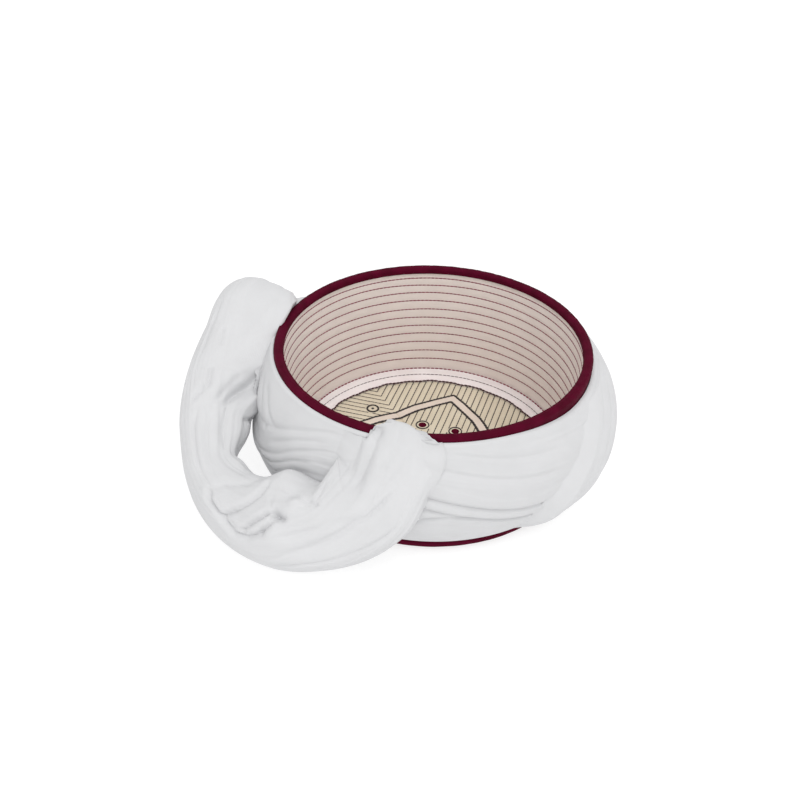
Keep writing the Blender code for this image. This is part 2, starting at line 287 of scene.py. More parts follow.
class Bulge(NamedTuple):
    """A soft swelling, or a hollow where its rise is negative, in a flat space."""

    along: float
    across: float
    reach_along: float
    reach_across: float
    rise: float

    def relief(self, along: np.ndarray, across: np.ndarray) -> np.ndarray:
        """Gives how far the bulge moves a surface at each point."""
        x, y = (along - self.along) / self.reach_along, (across - self.across) / self.reach_across
        return self.rise * np.exp(-(x * x) - y * y)


# Meshes


def finished(
    name: str, bm: bmesh.types.BMesh, finish: bpy.types.Material, sharp: float = 60.0
) -> bpy.types.Object:
    """Makes a smooth-shaded object of a bmesh, with its faces pointing out.

    Args:
        name: The object's name.
        bm: The shape, in metres. It is freed.
        finish: The material.
        sharp: Edges over this angle in degrees stay sharp.

    Returns:
        The object, at the origin.
    """
    bmesh.ops.recalc_face_normals(bm, faces=bm.faces)
    mesh = bpy.data.meshes.new(name)
    bm.to_mesh(mesh)
    bm.free()
    mesh.materials.append(finish)
    mesh.shade_smooth()
    mesh.set_sharp_from_angle(angle=math.radians(sharp))
    obj = bpy.data.objects.new(name, mesh)
    bpy.context.scene.collection.objects.link(obj)
    return obj


def laid_grid(place: Place, along: int, across: int, cloth: tuple[float, float]) -> bmesh.types.BMesh:
    """Lays a flat grid over a surface, and gives it a UV map in metres of cloth.

    Args:
        place: Gives the points for shares (0 to 1) along and across the grid.
        along: Cells along the grid.
        across: Cells across it.
        cloth: Length and width of the cloth, in metres, for the weave.

    Returns:
        The grid, its touching edges merged.
    """
    bm = bmesh.new()
    layer = bm.loops.layers.uv.new(UV_NAME)
    bmesh.ops.create_grid(bm, x_segments=along, y_segments=across, size=0.5, calc_uvs=True)
    shares = np.array([vert.co[:2] for vert in bm.verts]) + 0.5
    shares[:, 0] = np.round(shares[:, 0] * along) / along
    shares[:, 1] = np.round(shares[:, 1] * across) / across
    for vert, point in zip(bm.verts, place(shares[:, 0], shares[:, 1])):
        vert.co = point
    for face in bm.faces:
        for loop in face.loops:
            spot = loop[layer].uv
            loop[layer].uv = (spot[0] * cloth[0], spot[1] * cloth[1])
    bmesh.ops.remove_doubles(bm, verts=bm.verts, dist=MERGE_DISTANCE)
    return bm


def close_ends(bm: bmesh.types.BMesh) -> None:
    """Fills the open ends of a rolled grid with triangles.

    Args:
        bm: The grid.
    """
    open_edges = [edge for edge in bm.edges if edge.is_boundary]
    bmesh.ops.holes_fill(bm, edges=open_edges, sides=0)
    bmesh.ops.triangulate(bm, faces=[face for face in bm.faces if len(face.verts) > 4])


class Facing(Enum):
    """The way that the cloth under a ring of stitches faces."""

    INWARD = "inward"
    UP = "up"


class Stitching:
    """Stitches of one thread, gathered here and made as one piece."""

    SIDES = 6
    RINGS = 4

    def __init__(self, length: float, width: float, height: float) -> None:
        """Keeps the size of a stitch.

        Args:
            length: Millimetres along the seam.
            width: Millimetres across it.
            height: Millimetres out of the cloth.
        """
        self.half = np.array([length, width, height]) / 2
        self.centres: list[np.ndarray] = []
        self.runs: list[np.ndarray] = []
        self.ups: list[np.ndarray] = []

    def sew(self, centres: np.ndarray, runs: np.ndarray, ups: np.ndarray) -> None:
        """Adds stitches.

        Args:
            centres: Their middles, in metres.
            runs: The way each one runs.
            ups: The way out of the cloth at each one.
        """
        self.centres.append(centres)
        self.runs.append(runs / np.linalg.norm(runs, axis=1, keepdims=True))
        self.ups.append(ups / np.linalg.norm(ups, axis=1, keepdims=True))

    def sew_round(
        self, azimuth: np.ndarray, radius: np.ndarray | float, height: np.ndarray | float, facing: Facing
    ) -> None:
        """Adds a ring of stitches round the cap.

        Args:
            azimuth: Degrees round the cap of each stitch.
            radius: Their distance from the axis.
            height: Their height over the floor.
            facing: The way that the cloth under them faces.
        """
        ones, zeros = np.ones(len(azimuth)), np.zeros(len(azimuth))
        up = np.tile([0.0, 0.0, 1.0], (len(azimuth), 1))
        ups = up if facing is Facing.UP else polar(azimuth, -ones, zeros)
        self.sew(polar(azimuth, radius + zeros, height + zeros), polar(azimuth + 90.0, ones, zeros), ups)

    def one(self) -> bmesh.types.BMesh:
        """Makes one stitch about the origin, running along X.

        Returns:
            The stitch. It comes by way of a mesh, so that copies keep the order of its points.
        """
        ball = bmesh.new()
        bmesh.ops.create_uvsphere(ball, u_segments=self.SIDES, v_segments=self.RINGS, radius=1.0)
        turn = Matrix.Rotation(math.pi / 2, 3, "Y")
        bmesh.ops.rotate(ball, verts=ball.verts, cent=(0, 0, 0), matrix=turn)
        bmesh.ops.scale(ball, verts=ball.verts, vec=Vector(self.half * MM))
        mesh = bpy.data.meshes.new("stitch")
        ball.to_mesh(mesh)
        ball.free()
        bm = bmesh.new()
        bm.from_mesh(mesh)
        bpy.data.meshes.remove(mesh)
        return bm

    def piece(self, name: str, finish: bpy.types.Material) -> bpy.types.Object:
        """Makes all the stitches.

        Args:
            name: The piece's name.
            finish: The thread's material.

        Returns:
            One object that holds every stitch.
        """
        centres, runs, ups = (np.concatenate(rows) for rows in (self.centres, self.runs, self.ups))
        bm = self.one()
        shape = np.array([vert.co[:] for vert in bm.verts])
        size, made = len(shape), 1
        while made < len(centres):
            copied = min(made, len(centres) - made)
            bm.verts.ensure_lookup_table()
            verts = bm.verts[: copied * size]
            faces = {face for vert in verts for face in vert.link_faces}
            edges = {edge for vert in verts for edge in vert.link_edges}
            bmesh.ops.duplicate(bm, geom=[*verts, *edges, *faces])
            made += copied
        sides = np.cross(ups, runs)
        turned = np.stack([runs, sides, np.cross(runs, sides)], axis=1)
        points = np.einsum("vk,skx->svx", shape, turned) + centres[:, None, :]
        for vert, point in zip(bm.verts, points.reshape(-1, 3)):
            vert.co = point
        return finished(name, bm, finish)


# Finishes


class Shader:
    """A material under construction: its nodes, and the principled shader that they end in."""

    def __init__(self, name: str, settings: dict[str, object]) -> None:
        """Starts a material.

        Args:
            name: The material's name.
            settings: Values for the principled shader's own sockets.
        """
        self.material = bpy.data.materials.new(name)
        self.material.use_nodes = True
        self.tree = self.material.node_tree
        self.surface = self.tree.nodes["Principled BSDF"]
        for socket, value in settings.items():
            self.surface.inputs[socket].default_value = value

    def node(
        self, kind: str, inputs: dict[str | int, object] | None = None, **options: object
    ) -> bpy.types.Node:
        """Adds a node.

        Args:
            kind: Its type, without the leading ShaderNode.
            inputs: A value or another node's output for each of its sockets.
            **options: The node's own options.

        Returns:
            The node.
        """
        node = self.tree.nodes.new("ShaderNode" + kind)
        for option, value in options.items():
            setattr(node, option, value)
        for socket, value in (inputs or {}).items():
            if isinstance(value, bpy.types.NodeSocket):
                self.tree.links.new(value, node.inputs[socket])
            else:
                node.inputs[socket].default_value = value
        return node

    def colour(self, first: Colour, second: Colour, share: bpy.types.NodeSocket) -> bpy.types.NodeSocket:
        """Blends two colours by a share.

        Args:
            first: Colour where the share is 0.
            second: Colour where it is 1.
            share: The output that says how much of the second.

        Returns:
            The blended colour.
        """
        ramp = self.node("ValToRGB", {"Fac": share})
        ramp.color_ramp.elements[0].position = 0.3
        ramp.color_ramp.elements[0].color = (*first, 1.0)
        ramp.color_ramp.elements[1].position = 0.7
        ramp.color_ramp.elements[1].color = (*second, 1.0)
        return ramp.outputs["Color"]

    def weave(self, thread: float, unevenness: float) -> bpy.types.NodeSocket:
        """Makes the height of a plain weave from the piece's own UV map.

        Args:
            thread: Millimetres from one thread to the next.
            unevenness: How much the threads wander.

        Returns:
            The height, from 0 to 1.
        """
        spot = self.node("UVMap", uv_map=UV_NAME).outputs["UV"]
        settings = {
            "Vector": spot,
            "Scale": math.tau / (20 * thread * MM),
            "Distortion": unevenness,
            "Detail": 1.0,
            "Detail Scale": 0.6,
        }
        warp = self.node("TexWave", settings, bands_direction="X")
        weft = self.node("TexWave", settings, bands_direction="Y")
        top = self.node("Math", {0: warp.outputs["Fac"], 1: weft.outputs["Fac"]}, operation="MAXIMUM")
        return top.outputs["Value"]

    def grain(self, scale: float, detail: float = 3.0) -> bpy.types.NodeSocket:
        """Makes noise in object coordinates.

        Args:
            scale: Cells to a metre.
            detail: How many finer layers it has.

        Returns:
            The noise, about 0.5.
        """
        spot = self.node("TexCoord").outputs["Object"]
        return self.node("TexNoise", {"Vector": spot, "Scale": scale, "Detail": detail}).outputs["Fac"]

    def bump(
        self,
        height: bpy.types.NodeSocket,
        depth: float,
        strength: float = 1.0,
        under: bpy.types.NodeSocket | None = None,
    ) -> bpy.types.NodeSocket:
        """Adds a bump.

        Args:
            height: The height, from 0 to 1.
            depth: Millimetres that 1 stands for.
            strength: The share of it that shows.
            under: A bump that this one lies on.

        Returns:
            The bumped normal.
        """
        inputs: dict[str | int, object] = {"Height": height, "Distance": depth * MM, "Strength": strength}
        if under is not None:
            inputs["Normal"] = under
        return self.node("Bump", inputs).outputs["Normal"]

    def finish(self, colour: bpy.types.NodeSocket, normal: bpy.types.NodeSocket) -> bpy.types.Material:
        """Joins the colour and the normal to the shader.

        Args:
            colour: The base colour.
            normal: The bumped normal.

        Returns:
            The finished material.
        """
        self.tree.links.new(colour, self.surface.inputs["Base Color"])
        self.tree.links.new(normal, self.surface.inputs["Normal"])
        return self.material


@dataclass(frozen=True)
class Cloth:
    """A woven finish: two close colours, the weave, and how it takes the light."""

    name: str
    light: Colour
    dark: Colour
    thread: float
    weave_depth: float
    roughness: float = 0.85
    sheen: float = 0.2
    patch_scale: float = 60.0
    gloss: float = 0.2
    sheen_roughness: float = 0.5
    wander: float = 0.6
    fuzz_scale: float = 2600.0
    fuzz: float = 0.6

    def material(self) -> bpy.types.Material:
        """Builds the material.

        Returns:
            The material, its fuzz laid over its weave.
        """
        settings = {
            "Roughness": self.roughness,
            "Sheen Weight": self.sheen,
            "Sheen Roughness": self.sheen_roughness,
            "Specular IOR Level": self.gloss,
        }
        shader = Shader(self.name, settings)
        colour = shader.colour(self.dark, self.light, shader.grain(self.patch_scale))
        weave = shader.bump(shader.weave(self.thread, self.wander), self.weave_depth)
        fuzz = shader.bump(shader.grain(self.fuzz_scale), self.weave_depth * self.fuzz, self.fuzz, weave)
        return shader.finish(colour, fuzz)


@dataclass(frozen=True)
class Thread:
    """A sewing thread: one colour, slightly worn, with the twist of its strands."""

    name: str
    light: Colour
    dark: Colour
    roughness: float = 0.6
    sheen: float = 0.15
    gloss: float = 0.4
    worn_scale: float = 400.0
    twist_scale: float = 4500.0
    twist_depth: float = 0.05

    def material(self) -> bpy.types.Material:
        """Builds the material.

        Returns:
            The material.
        """
        settings = {
            "Roughness": self.roughness,
            "Sheen Weight": self.sheen,
            "Specular IOR Level": self.gloss,
        }
        shader = Shader(self.name, settings)
        colour = shader.colour(self.dark, self.light, shader.grain(self.worn_scale))
        return shader.finish(colour, shader.bump(shader.grain(self.twist_scale), self.twist_depth))


class Finish(Enum):
    """The finishes of the real thing."""

    MUSLIN = Cloth("white_muslin", (0.665, 0.667, 0.678), (0.64, 0.642, 0.652), 0.42, 0.05, 0.9, 0.05)
    BINDING = Cloth(
        "maroon_cloth", (0.095, 0.0007, 0.017), (0.062, 0.0004, 0.010), 0.38, 0.05, 0.8, 0.0, 120.0, 0.08
    )
    WALL_LINING = Cloth("wall_lining_cloth", (0.845, 0.77, 0.725), (0.805, 0.725, 0.68), 0.5, 0.06, 0.9, 0.03)
    CROWN_LINING = Cloth("crown_lining_cloth", (0.765, 0.69, 0.545), (0.70, 0.62, 0.48), 0.5, 0.07, 0.9, 0.03)
    BAND_CLOTH = Cloth("medallion_cloth", (0.80, 0.70, 0.61), (0.74, 0.64, 0.55), 0.5, 0.06, 0.9, 0.03)
    SEAM_TAPE = Cloth("seam_tape_cloth", (0.90, 0.845, 0.84), (0.86, 0.79, 0.785), 0.45, 0.05, 0.9, 0.03)
    ROW_THREAD = Thread("crimson_thread", (0.24, 0.006, 0.045), (0.16, 0.004, 0.03))
    BLACK_THREAD = Thread("black_thread", (0.03, 0.022, 0.02), (0.015, 0.01, 0.01))
    TAPE_THREAD = Thread("dark_red_thread", (0.06, 0.006, 0.012), (0.035, 0.004, 0.008))

    def made(self) -> bpy.types.Material:
        """Gives the material, made the first time that it is asked for."""
        return bpy.data.materials.get(self.value.name) or self.value.material()


def dress(obj: bpy.types.Object, slot: str, *nodes: str) -> bpy.types.Object:
    """Attaches a piece: it rides on the body and stands for its solids, which are hidden.

    Args:
        obj: The piece.
        slot: Not used.
        *nodes: The CAD nodes that it stands for.

    Returns:
        The piece.
    """
    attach(obj, "root")
    if nodes:
        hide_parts(*nodes)
    logger.info("%s: %d faces", obj.name, len(obj.data.polygons))
    return obj


# Skullcap


@dataclass(frozen=True)
class CapShape:
    """Sizes of the stiff cap that its pieces share, in millimetres."""

    height: float = 83.0
    foot_radius: float = 85.6
    top_radius: float = 91.8
    thickness: float = 2.8
    crown_thickness: float = 2.6
    piping: float = 4.2
    piping_lift: float = 0.3
    gap: float = 0.35
    binding_cloth: float = 0.9
    binding_bulge: float = 0.25

    def wall(self, height: np.ndarray | float) -> np.ndarray | float:
        """Gives the wall's outer radius at a height."""
        return self.foot_radius + (self.top_radius - self.foot_radius) * height / self.height

    def lining(self, height: np.ndarray | float) -> np.ndarray | float:
        """Gives the wall's inner radius at a height."""
        return self.wall(height) - self.thickness

    @property
    def binding_face(self) -> float:
        """Gives how far the face of the binding stands off the cap."""
        return self.binding_cloth + self.gap

    @property
    def crown_radius(self) -> float:
        """Gives the radius of the crown, which ends at the piping."""
        return self.foot_radius - self.thickness / 2 - self.piping / 2


CAP = CapShape()


@dataclass
class QuiltedWall:
    """The padded side of the cap, quilted in rows round its inside."""

    rows: tuple[float, ...] = (16.0, 22.4, 28.9, 35.1, 41.1, 47.2, 53.2, 59.2, 65.0, 70.6, 75.4)
    foot: float = 5.0
    top: float = 81.6
    puff: float = 0.2
    pucker: float = 0.05
    columns: int = 512
    inner_rows: int = 150
    outer_rows: int = 10
    stitch_pitch: float = 2.6
    stitch_shift: float = 0.37
    drift: float = 0.25
    bedding: float = 0.1
    stitches: Stitching = field(default_factory=lambda: Stitching(3.1, 0.75, 0.55))

    def puffed(self, azimuth: np.ndarray, height: np.ndarray) -> np.ndarray:
        """Gives the radius of the quilted inner face.

        Args:
            azimuth: Degrees round the cap.
            height: Height over the floor.

        Returns:
            The radius, smaller where the padding swells.
        """
        lines = np.array([self.foot - 1.5, *self.rows, self.top + 1.5])
        index = np.clip(np.searchsorted(lines, height, side="right") - 1, 0, len(lines) - 2)
        share = np.clip((height - lines[index]) / (lines[index + 1] - lines[index]), 0, 1)
        swell = 1 - np.abs(2 * share - 1) ** 2.6
        wrinkle = Waver(11)
        round_cap = np.radians(azimuth % 360.0) / math.tau * Waver.CELLS
        pulls = wrinkle.at(round_cap * 3, height / 3.1) + 0.7 * wrinkle.at(round_cap * 7 + 9, height / 2.3)
        return CAP.lining(height) - self.puff * swell - self.pucker * pulls * (0.35 + swell)

    def place(self, along: np.ndarray, across: np.ndarray) -> np.ndarray:
        """Gives the wall's points: up its inside, over its top and down its outside.

        Args:
            along: Shares of the way round the cap.
            across: Shares of the way round the wall's section.

        Returns:
            Points in metres.
        """
        azimuth = 360.0 * along
        index = across * (self.inner_rows + self.outer_rows)
        inside = np.clip(index / self.inner_rows, 0, 1)
        outside = np.clip((index - self.inner_rows - 1) / (self.outer_rows - 2), 0, 1)
        closing = index >= self.inner_rows + self.outer_rows
        inner = (index <= self.inner_rows) | closing
        rise = self.top - self.foot
        height = np.where(inner, self.foot + inside * rise, self.top - outside * rise)
        height = np.where(closing, self.foot, height)
        return polar(azimuth, np.where(inner, self.puffed(azimuth, height), CAP.wall(height)), height)

    def sew_row(self, number: int, height: float) -> None:
        """Sews one row round the wall.

        Args:
            number: The row's place, which shifts its stitches.
            height: The row's height.
        """
        count = round(math.tau * CAP.lining(height) / self.stitch_pitch)
        azimuth = 360.0 * (np.arange(count) + self.stitch_shift * number) / count
        drift = self.drift * Waver(40 + number).at(azimuth / 30, np.zeros(count))
        radius = self.puffed(azimuth, np.full(count, height)) - self.bedding
        self.stitches.sew_round(azimuth, radius, height + drift, Facing.INWARD)

    def build(self) -> None:
        """Makes the wall and the stitches of its rows."""
        bm = laid_grid(self.place, self.columns, self.inner_rows + self.outer_rows, (0.54, 0.16))
        dress(finished("quilted_wall", bm, Finish.WALL_LINING.made(), 40.0), "wall_lining", "cap_wall")
        for number, row in enumerate(self.rows):
            self.sew_row(number, row)
        dress(self.stitches.piece("wall_stitches", Finish.ROW_THREAD.made()), "wall_lining")


@dataclass
class SeamTape:
    """The tape sewn over the seam between wall and crown, inside the cap."""

    width: float = 8.8
    rise: float = 5.6
    thickness: float = 1.0
    floor: float = CAP.crown_thickness + CAP.gap
    columns: int = 480
    rows: int = 56
    wave: float = 0.8
    pucker: float = 0.3
    top_from: int = 8
    stitch_pitch: float = 2.6
    waver: Waver = field(default_factory=lambda: Waver(21))

    @property
    def outer(self) -> float:
        """Gives the radius of the edge that lies on the wall."""
        return CAP.lining(self.floor + self.rise) - CAP.gap

    @property
    def inner(self) -> float:
        """Gives the radius of the edge that lies on the crown."""
        return self.outer - self.width

    def outline(self) -> np.ndarray:
        """Gives the tape's section.

        Returns:
            Rows of radius and height: along the seam, up the wall and back over the tape's face.
        """
        inner, outer, crown = self.inner, self.outer, CAP.crown_radius
        floor, thick = self.floor, self.thickness
        return np.array(
            [
                (inner, floor),
                ((inner + crown) / 2 - thick, floor),
                (crown - 2 * thick, floor),
                (crown + 0.5 * thick, floor + 2 * thick + CAP.gap),
                (outer, floor + self.rise),
                (outer - 0.45 * thick, floor + self.rise + 0.35 * thick),
                (outer - thick, floor + self.rise),
                (crown - 0.4 * thick, floor + 5 * thick),
                (crown - 1.6 * thick, floor + 3 * thick),
                (crown - 3.4 * thick, floor + 1.7 * thick),
                ((inner + crown) / 2 - thick, floor + 1.1 * thick),
                (inner + 0.2 * thick, floor + 0.85 * thick),
                (inner, floor),
            ]
        )

    def waved(self, radius: np.ndarray | float, cells: np.ndarray, low: np.ndarray | float) -> np.ndarray:
        """Gives the radius with the waves of the tape's lower edge.

        Args:
            radius: The radius without them.
            cells: The way round the cap, in the waver's cells.
            low: The share of the waves, which is 1 at the lower edge.

        Returns:
            The waved radius.
        """
        long_wave = self.waver.at(cells, np.zeros_like(cells))
        short_wave = self.waver.at(cells * 2, np.ones_like(cells))
        return radius + self.wave * low * long_wave + 0.5 * self.wave * low * short_wave

    def place(self, along: np.ndarray, across: np.ndarray) -> np.ndarray:
        """Gives the tape's points.

        Args:
            along: Shares of the way round the cap.
            across: Shares of the way round the tape's section.

        Returns:
            Points in metres.
        """
        outline = self.outline()
        steps = run_lengths(outline)
        spot = across * steps[-1]
        radius = np.interp(spot, steps, outline[:, 0])
        height = np.interp(spot, steps, outline[:, 1])
        low = np.clip((CAP.crown_radius - radius) / (CAP.crown_radius - self.inner), 0, 1)
        cells = along * Waver.CELLS
        puckers = np.maximum(Waver(22).at(cells * 3, spot / 2.2), 0) * (spot > steps[self.top_from])
        return polar(360.0 * along, self.waved(radius, cells, low), height + self.pucker * puckers)

    def build(self) -> None:
        """Makes the tape, the thread over its wavy lower edge and its two rows of stitches."""
        bm = laid_grid(self.place, self.columns, self.rows, (0.5, 0.03))
        dress(finished("seam_tape_ring", bm, Finish.SEAM_TAPE.made(), 80.0), "seam_tape", "crown_tape")
        floor, thick = self.floor, self.thickness
        count = round(math.tau * self.inner / self.stitch_pitch)
        azimuth = 360.0 * np.arange(count) / count
        low = self.waved(self.inner, azimuth / 360.0 * Waver.CELLS, 1.0)
        hem = Stitching(3.1, 1.3, 1.1)
        hem.sew_round(azimuth, low + 0.1, floor + 0.75 * thick, Facing.UP)
        dress(hem.piece("tape_hem", Finish.TAPE_THREAD.made()), "seam_tape")
        middle = Stitching(2.9, 0.5, 0.5)
        middle.sew_round(azimuth, CAP.crown_radius - 2.4 * thick, floor + 2.6 * thick, Facing.UP)
        dress(middle.piece("tape_stitches", Finish.TAPE_THREAD.made()), "seam_tape")
        top = Stitching(2.9, 0.8, 1.0)
        top.sew_round(azimuth, self.outer - 0.75 * thick, floor + self.rise + 0.3, Facing.INWARD)
        dress(top.piece("tape_top_stitches", Finish.ROW_THREAD.made()), "seam_tape")


@dataclass
class Piping:
    """The round covered cord in the seam between crown and wall."""

    half: float = 2.75
    unevenness: float = 0.035
    columns: int = 400
    sides: int = 28

    def place(self, along: np.ndarray, across: np.ndarray) -> np.ndarray:
        """Gives the piping's points, its cloth slightly twisted over the cord.

        Args:
            along: Shares of the way round the cap.
            across: Shares of the way round the cord.

        Returns:
            Points in metres.
        """
        turn = math.tau * across
        pulls = Waver(31).at(along * Waver.CELLS * 2 + across * 3, across * 0 + 2)
        bulge = self.half * (1 + self.unevenness * pulls)
        radius = CAP.crown_radius + self.half + bulge * np.cos(turn)
        return polar(360.0 * along, radius, CAP.piping_lift + self.half + bulge * np.sin(turn))

    def build(self) -> None:
        """Makes the piping."""
        bm = laid_grid(self.place, self.columns, self.sides, (0.54, 0.013))
        dress(finished("crown_cord", bm, Finish.BINDING.made()), "maroon_binding", "crown_piping")


@dataclass
class RimBinding:
    """The cloth folded over the mouth of the cap and sewn down on both sides."""

    bulge: float = CAP.binding_bulge
    rounding: float = 0.7
    outer_drop: float = 10.0
    inner_drop: float = 4.0
    columns: int = 540
    rows: int = 72
    hidden_rows: int = 6
    hidden_from: int = 13
    core_drop: float = 3.0
    hem: float = 1.1
    bedding: float = 0.05
    stitch_pitch: float = 2.9

    def outline(self) -> np.ndarray:
        """Gives the binding's section.

        Returns:
            Rows of radius and height, from the outer hem over the top to the inner one and back inside.
        """
        top, skin = CAP.height, CAP.binding_face
        shelf = top - CAP.binding_cloth
        outer_low, inner_low = top - self.outer_drop, top - self.inner_drop
        outer, inner = CAP.wall(top) + skin, CAP.lining(top) - skin
        return np.array(
            [
                (CAP.wall(outer_low) + CAP.gap, outer_low),
                (CAP.wall(outer_low) + 0.6 * skin, outer_low - 0.2),
                (CAP.wall(outer_low) + skin, outer_low + 0.4),
                (CAP.wall(top - 7) + skin + 0.6 * self.bulge, top - 7),
                (outer + self.bulge, top - 3),
                (outer + 0.5 * self.bulge, top - 1.4),
                (outer - self.rounding, top - self.rounding / 3),
                ((outer + inner) / 2, top + self.bulge),
                (inner + self.rounding, top - self.rounding / 3),
                (inner - 0.4 * self.bulge, top - 1.2),
                (inner - self.bulge, top - 2.2),
                (CAP.lining(inner_low) - skin, inner_low + 0.3),
                (CAP.lining(inner_low) - 0.6 * skin, inner_low - 0.15),
                (CAP.lining(inner_low) - CAP.gap, inner_low),
                (CAP.lining(shelf) - CAP.gap, shelf),
                (CAP.wall(shelf) + CAP.gap, shelf),
                (CAP.wall(outer_low) + CAP.gap, outer_low),
            ]
        )

    def place(self, along: np.ndarray, across: np.ndarray) -> np.ndarray:
        """Gives the binding's points, with the small slanting pulls of bias cloth.

        Args:
            along: Shares of the way round the cap.
            across: Shares of the way round the binding's section.

        Returns:
            Points in metres.
        """
        outline = self.outline()
        steps = run_lengths(outline)
        seen = steps[self.hidden_from]
        row, seen_rows = across * self.rows, self.rows - self.hidden_rows
        hidden = seen + (row - seen_rows) / self.hidden_rows * (steps[-1] - seen)
        spot = np.where(row <= seen_rows, row / seen_rows * seen, hidden)
        radius = np.interp(spot, steps, outline[:, 0])
        height = np.interp(spot, steps, outline[:, 1])
        pulls, slant = Waver(51), along * Waver.CELLS * 4 + spot / 4
        relief = 0.10 * pulls.at(slant, spot / 6) + 0.05 * pulls.at(slant * 2 + 5, spot / 3)
        relief = relief * (spot < seen) * hump(np.clip(spot / seen, 0, 1))
        out = radius - (CAP.wall(CAP.height) - CAP.thickness / 2)
        up = height - (CAP.height - self.core_drop)
        away = np.hypot(out, up)
        return polar(360.0 * along, radius + relief * out / away, height + relief * up / away)

    def build(self) -> None:
        """Makes the binding and the stitches of its inner hem."""
        bm = laid_grid(self.place, self.columns, self.rows, (0.57, 0.03))
        dress(finished("mouth_binding", bm, Finish.BINDING.made(), 70.0), "maroon_binding", "rim_binding")
        low = CAP.height - self.inner_drop + self.hem
        count = round(math.tau * CAP.lining(low) / self.stitch_pitch)
        radius = CAP.lining(low) - CAP.binding_face - self.bedding
        stitches = Stitching(2.0, 0.4, 0.3)
        stitches.sew_round(360.0 * np.arange(count) / count, radius, low, Facing.INWARD)
        dress(stitches.piece("binding_stitches", Finish.BINDING.made()), "maroon_binding")


